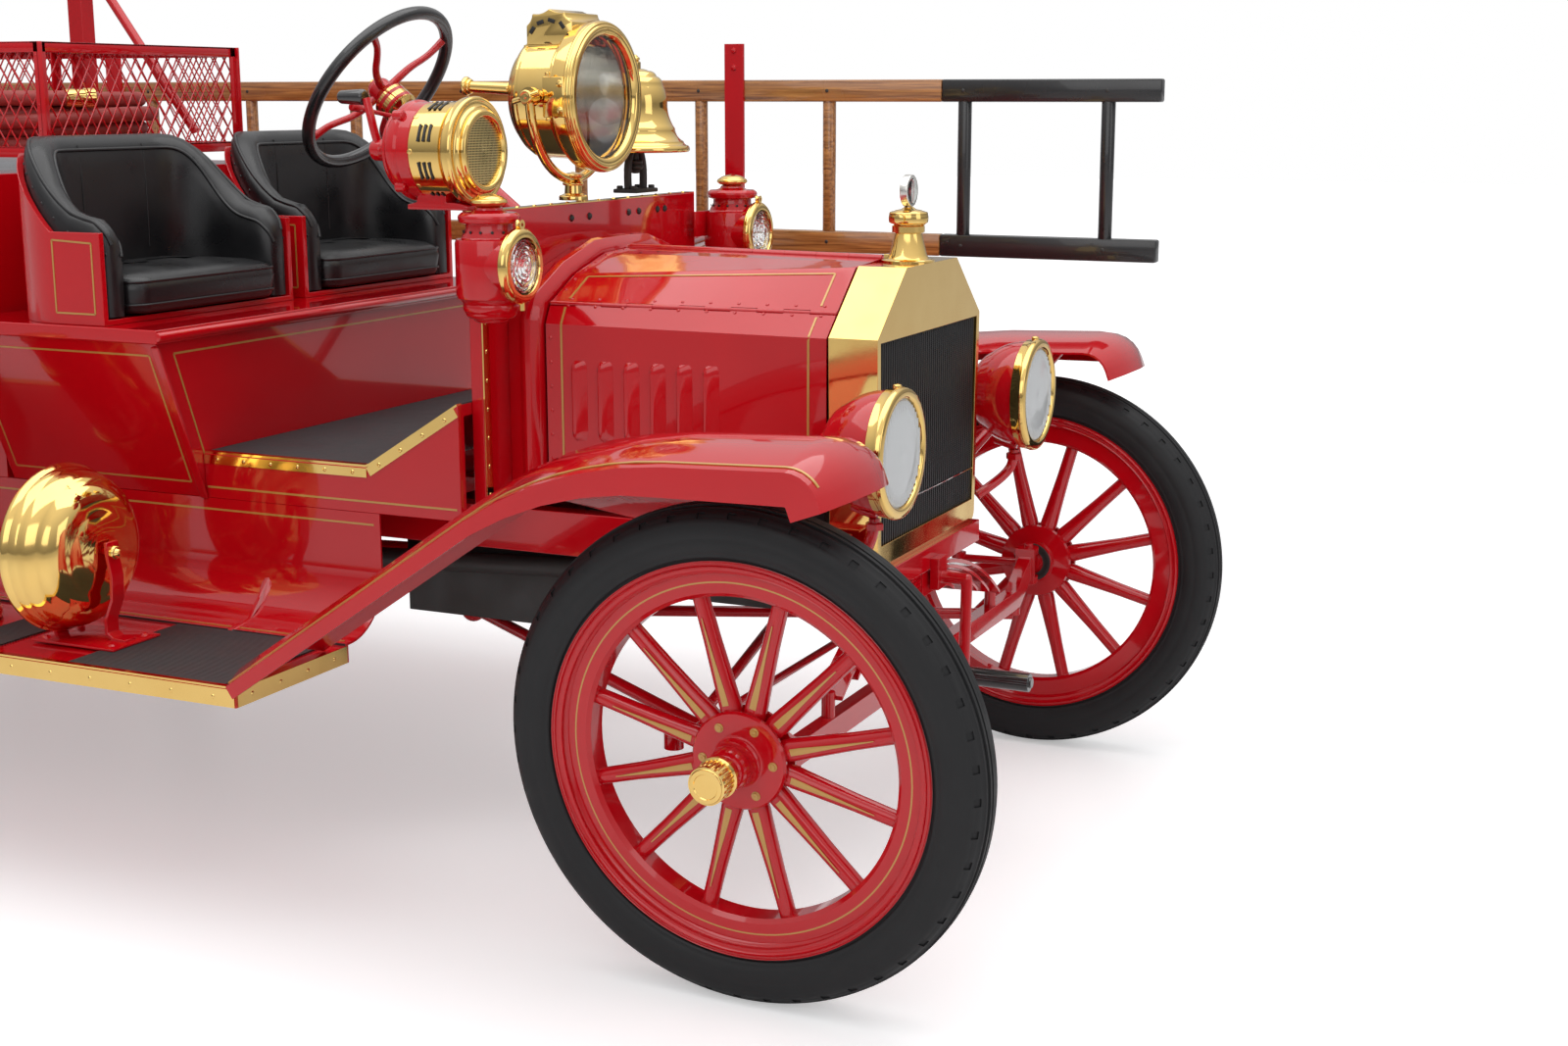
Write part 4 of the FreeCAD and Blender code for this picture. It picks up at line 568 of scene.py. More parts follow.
def wheel_parts():
    """One wheel about the origin with its outside towards +Y."""
    hub = revolve("hub", [(-42, 17), (-42, 42), (-26, 42), (-22, 72), (-14, 74), (-12, 60),
        (13, 60), (14, 74), (20, 75), (HUB_FACE, 72), (26, 42), (30, 37, -2), (52, 33, -3),
        (70, 30), (74, 27), (86, 27), (86, 0)], (0, 0, 0), ACROSS, 64)
    rim = revolve("rim", [(-23, 252), (-17, 246), (17, 246), (23, 252), (24, 281), (27, 283),
        (35, 285, 2), (39.5, 295, 3), (38, 302, 3), (33, 302, 2), (32, 290), (-32, 290),
        (-33, 302, 2), (-38, 302), (-39.5, 295, 3), (-35, 285, 3), (-27, 283, 2), (-24, 281),
        (-23, 252)], (0, 0, 0), ACROSS, 128)
    spokes = []
    for angle in circle(SPOKES, 0.5):
        spoke = loft("spoke", [(44, 16, 15), (66, 17, 15), (82, 17.5, 15.2), (110, 16, 15),
            (180, 13.2, 13.6), (246, 12.6, 12.4), (256, 12.6, 12.4)], (0, 0, 0), UP, sides=20)
        spoke.data.transform(Matrix.Rotation(angle, 4, "Y"))
        spokes.append(spoke)
    wood = joined("wheel_wood", *spokes)
    lines = joined("wheel_lines", *[stripe_on_spoke(angle) for angle in circle(SPOKES, 0.5)])
    rings = []
    for radius, half in ((269.5, 2.4), (274.5, 0.8)):
        rings.append(revolve("ring", [(22.6, radius - half), (23.6, radius - half),
            (23.6, radius + half), (22.6, radius + half), (22.6, radius - half)], (0, 0, 0),
            ACROSS, 128))
    bolts = []
    for angle in circle(6):
        bolt = revolve("bolt", [(22, 7), (26, 7), (29, 5, -1.2), (30, 0, -0.6)],
            (56 * MM * math.cos(angle), 0, 56 * MM * math.sin(angle)), ACROSS, 16)
        bolts.append(bolt)
    gilding = joined("gilding", lines, *rings, *bolts)
    cap = revolve("cap", [(84, 0), (84, 30), (87, 31), (92, 31), (94, 27), (118, 26.5), (121, 29),
        (127, 28.5), (130, 25, -1), (130.5, 19), (129, 18), (129, 0)], (0, 0, 0), ACROSS, 64)
    flutes = []
    for angle in circle(24):
        x, z = 27 * MM * math.cos(angle), 27 * MM * math.sin(angle)
        flutes.append(bar("flute", (x, 95 * MM, z), (x, 119 * MM, z), 2.2, sides=8, edge=0.4))
    cap = joined("hub_cap", cap, *flutes)
    bands = []
    for radius in (46, 50):
        bands.append(revolve("bearing", [(-44, radius - 22), (-40, radius - 20),
            (-40, radius - 10), (-44, radius - 12), (-44, radius - 22)], (0, 0, 0), ACROSS, 48))
    return hub, rim, wood, gilding, cap, joined("bearing", *bands)


def tyre():
    """A clincher tyre: flat ribbed tread, notched shoulders, plain walls with a bead line."""
    steps = 192
    grooves = []
    ribs = (-24, -14.5, -5, 5, 14.5, 24)
    for left, right in zip(ribs, ribs[1:]):
        crown = TYRE_RADIUS - 0.010 * ((left + right) / 2) ** 2
        grooves += [(left + 1.3, crown), (right - 1.3, crown), (right - 0.9, crown - 5),
            (right + 0.9, crown - 5)]
    profile = [(-32.5, 291), (-32.5, 303), (-33, 306), (-39, 312, 2), (-44.4, 336, 2.2),
        (-42, 357, 1.6), (-36, 366, 0.8), (-30, 372, 0.4), (-25.2, 374)]
    profile += grooves[:-2]
    profile += [(25.2, 374), (30, 372), (36, 366, 0.4), (42, 357, 0.8), (44.4, 336, 1.6),
        (39, 312, 2.2), (33, 306, 2), (32.5, 303), (32.5, 291), (-32.5, 291)]
    obj = revolve("tyre", profile, (0, 0, 0), ACROSS, steps)
    select_none(obj)
    for face in obj.data.polygons:
        centre = face.center / MM
        radius = math.hypot(centre.x, centre.z)
        turn = math.degrees(math.atan2(centre.z, centre.x)) % 360
        number = int(turn / (360 / steps))
        face.select = 29 < abs(centre.y) < 39 and radius > 364 and number % 4 == 0
    bpy.ops.object.mode_set(mode="EDIT")
    bpy.ops.mesh.extrude_region_shrink_fatten(TRANSFORM_OT_shrink_fatten={"value": -2.4 * MM})
    leave()
    return smooth(obj, 40)


def wheels():
    """Four wheels and tyres; the front ones lean outwards at the top."""
    parts = wheel_parts()
    names = ("hub", "rim", "spokes", "gilding", "cap", "bearing")
    finishes = (red, red, red, gold, brass, iron)
    covering = tyre()
    for end in ("front", "rear"):
        for side, sign in SIDES:
            wheel = "wheel_%s_%s" % (end, side)
            track = HALF_TRACK * sign
            height = TYRE_RADIUS
            lean = 0.0
            if end == "front":
                lean = -sign * CAMBER
                height = (TYRE_RADIUS - TUBE_RADIUS) * math.cos(CAMBER) + TUBE_RADIUS
            x = 0 if end == "front" else (rear_x - front_x) / MM
            place = Matrix.Translation(at(x, track, height)) @ Matrix.Rotation(lean, 4, "X")
            if sign < 0:
                place = place @ Matrix.Rotation(math.pi, 4, "Z")
            for part, name, material in zip(parts, names, finishes):
                piece = again(part, "%s_%s" % (wheel, name), place)
                put(piece, wheel, material, *([wheel] if name == "hub" else []))
            piece = again(covering, "tread_%s_%s" % (end, side), place)
            put(piece, wheel, rubber, "tyre_%s_%s" % (end, side))
    for part in (*parts, covering):
        bpy.data.objects.remove(part)


# Stage
CAMERA_AT = (1219.28, -3282.55, 1318.34)
CAMERA_YAW = 24.2238
CAMERA_PITCH = 11.7489
PHOTO_WIDTH = 1600
FOCAL_PIXELS = 2089.87


def camera():
    view = bpy.data.cameras.new("camera")
    view.sensor_width = 36
    view.lens = FOCAL_PIXELS / PHOTO_WIDTH * view.sensor_width
    view.clip_end = 60
    obj = bpy.data.objects.new("camera", view)
    bpy.context.scene.collection.objects.link(obj)
    obj.location = at(*CAMERA_AT)
    obj.rotation_euler = (math.radians(90 - CAMERA_PITCH), 0, math.radians(CAMERA_YAW))
    bpy.context.scene.camera = obj


def lamp(name, place, target, size, power):
    light = bpy.data.lights.new(name, "AREA")
    light.shape = "RECTANGLE"
    light.size, light.size_y = size
    light.energy = power
    obj = bpy.data.objects.new(name, light)
    bpy.context.scene.collection.objects.link(obj)
    obj.location = place
    obj.rotation_euler = (Vector(target) - Vector(place)).to_track_quat("-Z", "Y").to_euler()


def floor():
    """A plain pale floor, white to the camera, that keeps the shadow."""
    deselect()
    bpy.ops.mesh.primitive_plane_add(size=60)
    obj = bpy.context.object
    obj.name = "floor"
    material = bpy.data.materials.new("pale_floor")
    material.use_nodes = True
    tree = material.node_tree
    shader = tree.nodes["Principled BSDF"]
    set_inputs(shader, Base_Color=(0.86, 0.855, 0.865, 1), Roughness=0.35, Specular_IOR_Level=0.35)
    glow = shade_node(tree, "Emission")
    place = shade_node(tree, "TexCoord")
    away = shade_node(tree, "VectorMath")
    away.operation = "LENGTH"
    rise = shade_node(tree, "MapRange", From_Min=2.2, From_Max=6.5, To_Min=0.36, To_Max=0.66)
    whole = shade_node(tree, "AddShader")
    seen = shade_node(tree, "MixShader")
    path = shade_node(tree, "LightPath")
    wire_up(tree, (place, "Object", away, 0), (away, "Value", rise, "Value"),
        (rise, "Result", glow, "Strength"), (shader, "BSDF", whole, 0),
        (glow, "Emission", whole, 1), (path, "Is Camera Ray", seen, "Fac"),
        (shader, "BSDF", seen, 1), (whole, "Shader", seen, 2), (seen, "Shader",
        tree.nodes["Material Output"], "Surface"))
    obj.data.materials.append(material)


def sky():
    """White for the camera, a bright ceiling over a dim room for gloss."""
    world = bpy.data.worlds.new("studio")
    bpy.context.scene.world = world
    world.use_nodes = True
    tree = world.node_tree
    tree.nodes.clear()
    white = (1, 1, 1, 1)
    path = shade_node(tree, "LightPath")
    plain = shade_node(tree, "Background", Color=white, Strength=0.66)
    seen = shade_node(tree, "Background", Color=white, Strength=1.0)
    glossy = shade_node(tree, "Background")
    room = shade_node(tree, "TexCoord")
    split = shade_node(tree, "SeparateXYZ")
    lift = shade_node(tree, "MapRange", From_Min=-1.0)
    ramp = ramp_node(tree, (0.49, (0.22, 0.22, 0.23)), (0.86, (1, 1, 1)), (0.62, (0.5, 0.5, 0.51)))
    wire_up(tree, (room, "Generated", split, "Vector"), (split, "Z", lift, "Value"),
        (lift, "Result", ramp, "Fac"), (ramp, "Color", glossy, "Color"))
    last = plain
    for ray, light in (("Glossy", glossy), ("Camera", seen), ("Transmission", seen)):
        mix = shade_node(tree, "MixShader")
        wire_up(tree, (path, "Is %s Ray" % ray, mix, "Fac"), (last, 0, mix, 1), (light, 0, mix, 2))
        last = mix
    wire_up(tree, (last, 0, shade_node(tree, "OutputWorld"), "Surface"))


def lights():
    centre = at(-900, 0, 700)
    lamp("soft_box_over", at(-600, -300, 4200), centre, (6.0, 4.0), 125)
    lamp("soft_box_near", at(600, -4600, 2600), centre, (4.5, 2.2), 36)
    lamp("soft_box_front", at(5200, -900, 2200), centre, (2.6, 2.6), 22)


def stage():
    bpy.context.scene.view_settings.view_transform = "Standard"
    camera()
    floor()
    sky()
    lights()


# Lamps
def headlamps():
    """Red bowls with a brass ring, a hinge screw and a fluted glass."""
    for side, sign in SIDES:
        node = "headlamp_" + side
        y, z = 353 * sign, 777
        face = 97
        centre = at(face, y, z)
        bowl = revolve("bowl", [(-130, 0), (-130, 22), (-128, 25), (-118, 28), (-84, 76, 8),
            (-20, 97, 6), (-14, 97), (-14, 93), (-24, 92), (-84, 71, -6), (-112, 24, -6),
            (-112, 0)], centre, steps=80)
        put(bowl, body_of(node), red, node)
        ring = revolve("ring", [(-20, 98), (-18, 101), (-10, 102), (-4, 103), (4, 103, 1),
            (8, 99, 1), (9, 90, 0.6), (6, 86, 0.5), (2, 85), (-6, 85), (-8, 97), (-20, 98)],
            centre, steps=96)
        screw = revolve("screw", [(-8, 0), (-8, 7), (2, 7), (5, 4, 1), (6, 0)],
            centre + mm(-4, 0, 103), UP, 20)
        put(joined("headlamp_ring_" + side, ring, screw), body_of(node), brass)
        mirror = revolve("mirror", [(-10, 84), (-60, 70, 6), (-96, 22, 6), (-97, 0), (-99, 0),
            (-98, 24), (-62, 72, -6), (-12, 86), (-10, 84)], centre, steps=64)
        put(mirror, body_of(node), silver).name = "headlamp_reflector_" + side
        front = revolve("headlamp_glass_" + side, [(-1, 0), (-1, 85), (2, 85), (5, 0, 3)], centre,
            steps=64)
        ribs = []
        for k in range(-9, 10):
            across = k * 8.6
            reach = math.sqrt(83 ** 2 - across ** 2)
            rib = bar("rib", centre + mm(1.2, across, -reach), centre + mm(1.2, across, reach),
                4.2, sides=12, edge=0.4)
            ribs.append(rib)
        put(joined("headlamp_glass_" + side, front, *ribs), body_of(node), fluted)
        bulb = revolve("headlamp_bulb_" + side, [(-80, 0), (-80, 12), (-60, 12), (-56, 9),
            (-50, 15, 2), (-30, 15, 6), (-22, 0, 3)], centre, steps=32)
        put(bulb, body_of(node), nickel)
        foot = [at(57, y, z - 106), at(57, y, 660), at(50, y, 630), at(20, 306 * sign, 600),
            at(6, 296 * sign, 590)]
        post = tube("headlamp_post_" + side, foot, 9)
        fork = bar("fork", at(62, y, z - 100), at(20, y, z - 88), 9)
        bolt = revolve("bolt", [(0, 0), (0, 15), (10, 15), (12, 12), (12, 0)], at(57, y, z - 124),
            UP, 6)
        put(joined("headlamp_post_" + side, post, fork, bolt), body_of(node), red)


def cowl_lamps():
    """Turned lamp bodies with a flared chimney, a brass ring and a stepped lens."""
    for side, sign in SIDES:
        y, z = 451 * sign, 1053
        centre = at(-574, y, z)
        axis = at(-574, y, z - 92)
        body = revolve("cowl_lamp_body_" + side, [(0, 0), (0, 16), (6, 30, 3), (16, 42, 3),
            (30, 45, 2), (36, 48), (40, 54), (46, 56), (128, 56), (134, 54), (140, 44, -3),
            (150, 38), (158, 38), (160, 46), (164, 49, 1), (172, 49, 1), (176, 44), (180, 24, -2),
            (184, 22), (184, 0)], axis, UP, 72)
        barrel = revolve("barrel", [(0, 0), (0, 52), (48, 52), (50, 55), (50, 46), (30, 46),
            (30, 0)], centre, ALONG, 64)
        # Black discs at the chimney's vent holes: painted shade inside the holes.
        vent_shades = []
        for angle in circle(14):
            out = Vector((math.cos(angle), math.sin(angle), 0))
            spot = axis + mm(0, 0, 146) + out * 41.5 * MM
            vent_shades.append(bar("vent_shade", spot, spot + out * 1.4 * MM, 2.4, sides=10, edge=0.2))
        fixed(joined("cowl_lamp_body_" + side, body, barrel), red,
            *(["cowl_lamps"] if sign > 0 else []))
        fixed(joined("cowl_lamp_vent_shades_" + side, *vent_shades), core_black_and_shade)
        knob = revolve("knob", [(182, 18), (186, 20), (190, 29, 1), (194, 30, 1), (198, 26, 1),
            (204, 14, 1), (207, 0)], axis, UP, 48)
        ring = revolve("ring", [(48, 50), (50, 59), (55, 61, 1), (62, 59, 1), (66, 52, 1),
            (66, 46), (62, 44), (56, 44), (52, 48), (48, 50)], centre, ALONG, 72)
        ear = revolve("ear", [(-4, 3), (-4, 8), (4, 8, -2), (4, 3), (-4, 3)], at(-516, y, z + 66),
            ALONG, 24)
        foot = revolve("screw", [(-9, 0), (-9, 5), (9, 5), (9, 0)], at(-516, y, z - 62), UP, 16)
        button = revolve("button", [(0, 0), (0, 9), (3, 9, 1), (5, 0)],
            at(-540, y - 26 * sign, z - 46), Vector((1, -0.3 * sign, 0)), 24)
        fixed(joined("cowl_lamp_brass_" + side, knob, ring, ear, foot, button), brass)
        steps = [(0, 45), (3, 45)]
        for k in range(5):
            radius = 44 - k * 8
            steps += [(3 + k * 1.2, radius), (7 + k * 1.2, radius - 4, 1.4),
                (4 + k * 1.2, radius - 7)]
        steps += [(12, 0, 1)]
        lens = revolve("cowl_lamp_glass_" + side, [(0, 0)] + steps, at(-517, y, z), ALONG, 64)
        fixed(lens, glass)
        back = revolve("cowl_lamp_mirror_" + side, [(40, 0), (41, 30), (50, 45, 2), (51, 45),
            (43, 30, -2), (42, 0)], centre, ALONG, 48)
        fixed(back, silver)
        arm = block("arm", at(-623, y, z - 20), at(-606, 424 * sign, z + 16), 2)
        plate_low = min(360 * sign, 432 * sign)
        strap = block("strap", at(-616, plate_low, z - 6), at(-611, plate_low + 72, z + 44), 1.5)
        fixed(joined("cowl_lamp_arm_" + side, arm, strap), red)


# Searchlight
def searchlight():
    """A brass drum in a yoke, with a vented chimney, a hinged ring and a clear glass."""
    x, y, z = -643, -60, 1318
    centre = at(x, y, z)
    drum = revolve("searchlight_drum", [(-84, 0), (-84, 34), (-82, 60, 2), (-70, 92, 7),
        (-58, 104, 2), (-54, 107), (-50, 107), (-48, 105), (14, 108), (16, 112), (20, 113),
        (24, 113), (26, 109), (40, 109), (40, 104), (-48, 100), (-72, 84, -5), (-80, 0, -2)],
        centre, steps=96)
    ring = revolve("ring", [(30, 112), (30, 123), (33, 127, 1), (56, 129), (62, 130, 1),
        (68, 129, 1), (72, 124, 2), (74, 116, 2), (71, 107, 1), (66, 104), (58, 103), (58, 108),
        (36, 112), (30, 112)], centre, steps=112)
    fixed(joined("searchlight_drum", drum, ring), brass, "searchlight")
    side = [(-48, 0), (44, 0), (44, 40), (30, 56, 4), (-2, 62, 3), (-36, 54, 4), (-48, 34, 3)]
    chimney = plate("searchlight_chimney", side, 118, facing(at(x - 6, y, z + 88), ALONG, UP), 4)
    # Black blocks in the chimney's vent slots: painted shade inside the slots.
    slot_shades = []
    for k in range(4):
        angle = math.radians(152 - k * 35)
        spot = at(x - 8 + 38 * math.cos(angle), y, z + 100 + 30 * math.sin(angle))
        for sign in (1, -1):
            slot_shade = block("slot_shade", (-7 * MM, -1 * MM, -3.6 * MM), (7 * MM, 1 * MM, 3.6 * MM), 0.8)
            slot_shade.data.transform(Matrix.Translation(spot + Vector((0, sign * 59.3 * MM, 0)))
                @ Matrix.Rotation(math.radians(k * 35 - 52), 4, "Y"))
            slot_shades.append(slot_shade)
    fixed(joined("searchlight_slot_shades", *slot_shades), core_black_and_shade)
    seam = block("seam", at(x - 58, y - 62, z + 84), at(x + 40, y + 62, z + 89), 1)
    hinge = block("hinge", at(x + 18, y - 131, z - 34), at(x + 60, y - 121, z + 34), 2)
    pins = [bar("pin", at(x + 30, y - 132, z - 40 + k * 76), at(x + 30, y - 132, z - 34 + k * 76),
        4.6, sides=16) for k in range(2)]
    screws = [revolve("screw", [(0, 0), (0, 6), (3, 5, 1), (4.5, 0)],
        at(x + 52, y - 129, z + 22 * sign), -ACROSS, 20) for sign in (1, -1)]
    fixed(joined("searchlight_chimney", chimney, seam, hinge, *pins, *screws), brass)
    reach = 144
    bow = [at(x, y + reach * math.sin(a), z - reach * math.cos(a))
        for a in [math.radians(k) for k in range(-90, 91, 12)]]
    yoke = tube("yoke", bow, 8.5)
    bolts = []
    for sign in (1, -1):
        outward = ACROSS * sign
        spot = at(x, y + 112 * sign, z)
        bolts.append(revolve("bolt", [(0, 0), (0, 12), (24, 12), (24, 17), (34, 17), (34, 12),
            (42, 12), (46, 8, 2), (47, 0)], spot, outward, 24))
        bolts.append(bar("wing", spot + outward * 41 * MM + mm(-26, 0, -8),
            spot + outward * 41 * MM + mm(26, 0, 8), 5, sides=14))
    post = revolve("post", [(0, 26), (6, 26), (9, 22, 1), (12, 16), (26, 15), (30, 19, 2),
        (34, 15), (40, 13), (46, 19, 3), (50, 0)], at(x, y, SHELF), UP, 40)
    handle = revolve("handle", [(0, 0), (0, 7), (8, 7), (12, 11, 1.5), (84, 9.5), (90, 13, 2),
        (100, 11, 5), (104, 0, 2)], at(x - 76, y - 66, z + 14), Vector((-1, -0.08, 0.05)), 32)
    fixed(joined("searchlight_yoke", yoke, post, handle, *bolts), brass)
    mirror = revolve("searchlight_mirror", [(44, 100), (-20, 96), (-62, 70, -9), (-76, 0, -5),
        (-78, 0), (-64, 72, 9), (-22, 98), (44, 102), (44, 100)], centre, steps=80)
    fixed(mirror, nickel)
    glass_front = revolve("searchlight_glass", [(62, 0), (62, 106), (65, 106), (68, 0, 2)], centre,
        steps=80)
    fixed(glass_front, glass)
    burner = revolve("searchlight_burner", [(-70, 9), (-20, 9), (-16, 14), (-6, 14), (0, 5, 2),
        (2, 0)], centre + mm(0, 0, -10), steps=32)
    fixed(burner, brass)


# Siren
def gauze_wires_and_shade():
    """Woven brass gauze: crossing wires, with dark squares between them painted as the shade seen
    through the gaps.
    """
    material = finish("brass_gauze_and_shade", (0.72, 0.52, 0.2), (0.25, 0.35), metal=1.0)
    tree = material.node_tree
    place = shade_node(tree, "TexCoord")
    most = shade_node(tree, "Math")
    most.operation = "MAXIMUM"
    for into, axis in enumerate("YZ"):
        wave = shade_node(tree, "TexWave", Scale=78)
        wave.bands_direction = axis
        wire_up(tree, (place, "Object", wave, "Vector"), (wave, "Fac", most, into))
    # The ramp's dark end is painted shade in the gaps between the wires.
    ramp = ramp_node(tree, (0.55, (0.012, 0.01, 0.006)), (0.78, (0.85, 0.66, 0.28)))
    wire_up(tree, (most, "Value", ramp, "Fac"), (ramp, "Color", tree.nodes["Principled BSDF"],
        "Base Color"))
    return material


def siren():
    """A geared hand siren: brass horn with slots and gauze, red gear case and foot."""
    x, y, z = -607, -406, 1232
    centre = at(x, y, z)
    horn = revolve("siren_horn", [(-98, 0), (-98, 76), (-95, 78), (-38, 79), (-36, 76), (-32, 76),
        (-30, 84, 1), (-24, 87, 1), (-18, 87), (-10, 82, 3), (-6, 70, -3), (-4, 66), (2, 66, 2),
        (4, 60, 1), (2, 55, 1), (-3, 53), (-6, 53), (-6, 0)], centre, steps=96)
    fixed(horn, brass, "siren")
    fixed(revolve("siren_gauze_and_shade", [(-5, 0), (-5, 54), (-3, 54), (-2, 0, 1)], centre, steps=64),
        gauze_wires_and_shade())
    # Black blocks in the horn's slots: painted shade inside them.
    slot_shades = []
    for group in range(8):
        for k in (-1, 0, 1):
            angle = math.radians(group * 45 + 22.5)
            slot_shade = block("slot_shade", (-15 * MM, -2.4 * MM, 78 * MM), (15 * MM, 2.4 * MM, 80 * MM), 0.8)
            slot_shade.data.transform(Matrix.Rotation(math.pi / 2, 4, "Z"))
            slot_shade.data.transform(Matrix.Translation(centre + mm(-66 + k * 10, 0, 0))
                @ Matrix.Rotation(angle, 4, "X"))
            slot_shades.append(slot_shade)
    fixed(joined("siren_slot_shades", *slot_shades), core_black_and_shade)
    screws = [revolve("screw", [(0, 0), (0, 4.4), (2, 3.6, 0.8), (3, 0)],
        centre + mm(-92, 77 * math.cos(a), 77 * math.sin(a)),
        Vector((0, math.cos(a), math.sin(a))), 16)
        for a in [math.radians(k * 45) for k in range(8)]]
    fixed(joined("siren_screws", *screws), brass)
    case = revolve("case", [(-172, 0), (-172, 30), (-168, 36, 1), (-160, 38), (-156, 60, -2),
        (-148, 68, 3), (-138, 74, 1), (-134, 80, -1), (-128, 82), (-122, 82), (-118, 79),
        (-98, 78), (-96, 76), (-96, 0)], centre, steps=80)
    lugs = [revolve("lug", [(-132, 0), (-132, 9), (-116, 9), (-114, 6), (-114, 0)],
        centre + mm(0, 80 * math.cos(a), 80 * math.sin(a)), ALONG, 20)
        for a in [math.radians(45 + 90 * k) for k in range(4)]]
    shape = [(-52, 0), (64, 0), (64, 7), (22, 12, -2), (14, 30, -5), (16, 70), (-16, 70),
        (-20, 30), (-34, 12, -4), (-52, 8)]
    foot = plate("foot", shape, 74, facing(at(x - 76, y, SHELF), ALONG, UP), 2.5)
    web = plate("web", [(0, 0), (92, -6), (60, 60, -8), (30, 92, -6), (0, 92)], 9,
        facing(at(x - 78, y + 18, SHELF + 1), ACROSS, UP), 1.5)
    shaft = revolve("shaft", [(-214, 0), (-214, 16), (-210, 18), (-196, 18), (-192, 15),
        (-170, 15)], centre, steps=32)
    crank = tube("crank", [centre + mm(*p) for p in ((-204, 0, 0), (-208, -8, 30),
        (-214, -10, 62), (-220, -10, 84))], 7)
    grip = revolve("grip", [(0, 0), (0, 10), (6, 13, 1), (46, 11), (52, 6, 1), (53, 0)],
        centre + mm(-222, -10, 86), Vector((-1, 0, 0)), 28)
    fixed(joined("siren_case", case, foot, web, shaft, crank, *lugs), red)
    fixed(grip, black).name = "siren_grip"


# Bell on its iron bracket
def bell():
    x, y, z = -684, 250, 1215
    lip = 105
    shell = revolve("bell_shell", [(2, lip - 12), (0, lip - 4), (4, lip, 1), (12, lip - 3, 1),
        (20, lip - 12, -2), (44, lip - 28, -4), (90, lip - 42, -4), (126, lip - 50, 2),
        (142, lip - 62, 3), (152, 28, 3), (156, 12, 1), (158, 0), (150, 0), (148, 10),
        (138, 30, -2), (120, lip - 58, -3), (86, lip - 50, -1), (42, lip - 36, 4),
        (18, lip - 20, 4), (2, lip - 12, 1)], at(x, y, z), UP, 96)
    nut = revolve("nut", [(0, 0), (0, 13), (12, 13), (15, 9), (22, 8, 3), (26, 0, 2)],
        at(x, y, z + 156), UP, 24)
    fixed(joined("bell_shell", shell, nut), brass, "bell")
    base = block("base", at(x - 26, y - 44, SHELF), at(x + 26, y + 44, SHELF + 8), 2)
    legs = [tube("leg", [at(x, y + s * 30, 1144), at(x, y + s * 33, 1172), at(x, y + s * 26, 1205),
        at(x, y + s * 6, 1240), at(x, y, 1262)], 7.5) for s in (1, -1)]
    stem = revolve("stem", [(0, 9), (110, 8), (112, 0)], at(x, y, 1256), UP, 24)
    clapper = revolve("clapper", [(-14, 0), (-10, 9, 4), (2, 13, 4), (10, 7, 4), (44, 4), (60, 4)],
        at(x, y, 1190), UP, 24)
    bolts = [revolve("bolt", [(0, 0), (0, 7), (5, 7), (6, 5), (6, 0)],
        at(x + 15 * a, y + 36 * b, SHELF + 8), UP, 6) for a in (1, -1) for b in (1, -1)]
    fixed(joined("bell_bracket", base, stem, clapper, *legs, *bolts), iron)


# Radiator: brass shell, tube core, neck, cap and its round gauge
def radiator():
    neck, gauge = at(-26, 0, 1044), at(-26, 0, 1163)
    fixed(revolve("radiator_neck", [(0, 0), (0, 46), (3, 46), (6, 36, 1), (12, 32), (48, 23),
        (50, 28), (60, 28), (62, 25), (64, 25), (66, 33, 1), (80, 33, 1), (84, 28, 2),
        (88, 14, 1), (92, 8), (92, 0)], neck, UP, 64), brass, "radiator_cap")
    wings = [bar("wing", at(-26, 24 * s, 1118), at(-26, 48 * s, 1118), 7, 9, sides=20, edge=2)
        for s in (1, -1)]
    wings.append(revolve("ears", [(-3, 0), (-3, 10), (3, 10), (3, 0)], at(0, 0, 1116), ALONG, 24))
    fixed(joined("radiator_cap_wings", *wings), brass)
    bezel = revolve("bezel", [(-7, 0), (-7, 24), (-5, 27, 1), (5, 27), (7, 24, 1), (7, 21),
        (5, 21), (5, 0)], gauge, ALONG, 56)
    stem = bar("stem", at(-26, 0, 1126), at(-26, 0, 1140), 4.5, sides=16)
    fixed(joined("gauge_bezel", bezel, stem), nickel)
    fixed(revolve("gauge_dial", [(5.2, 0), (5.2, 21), (5.8, 21), (5.8, 0)], gauge, ALONG, 40),
        dial)
    fixed(revolve("gauge_glass", [(6, 0), (6, 22), (8, 20, 0.4), (9, 0, 0.6)], gauge, ALONG, 40),
        glass)
    column = block("gauge_column", at(-20, -1.2, 1146), at(-19.6, 1.2, 1180), 0.2)
    fixed(column, red)
    dressed("radiator_shell", brass, 2.5)
    dressed("radiator_core", core_black_and_shade, 0.5)
    tubes = []
    count = 46
    for k in range(count):
        y = -227 + 454 * k / (count - 1)
        tubes.append(block("tube", at(10, y - 2.2, 586), at(15.4, y + 2.2, 928), 1.2))
    fixed(joined("radiator_tubes", *tubes), core_black_and_shade)
    fins = []
    for k in range(96):
        z = 588 + 338 * k / 95
        fins.append(block("fin", at(12, -230, z - 0.4), at(14, 230, z + 0.4), 0.1))
    fixed(joined("radiator_fins", *fins), core_black_and_shade)


# Skins, lines and heads
def skin(name, sections, degrees=40):
    """One skin over sections that have the same number of points, closed at both ends."""
    deselect()
    bpy.ops.mesh.primitive_grid_add(x_subdivisions=len(sections[0]) - 1,
        y_subdivisions=len(sections) - 1, size=1)
    obj = bpy.context.object
    points = [point for section in sections for point in section]
    for vertex, point in zip(obj.data.vertices, points):
        vertex.co = point
    edit(obj)
    bpy.ops.mesh.remove_doubles(threshold=2e-6)
    bpy.ops.mesh.fill_holes(sides=0)
    leave_outwards()
    obj.name = name
    return smooth(obj, degrees)


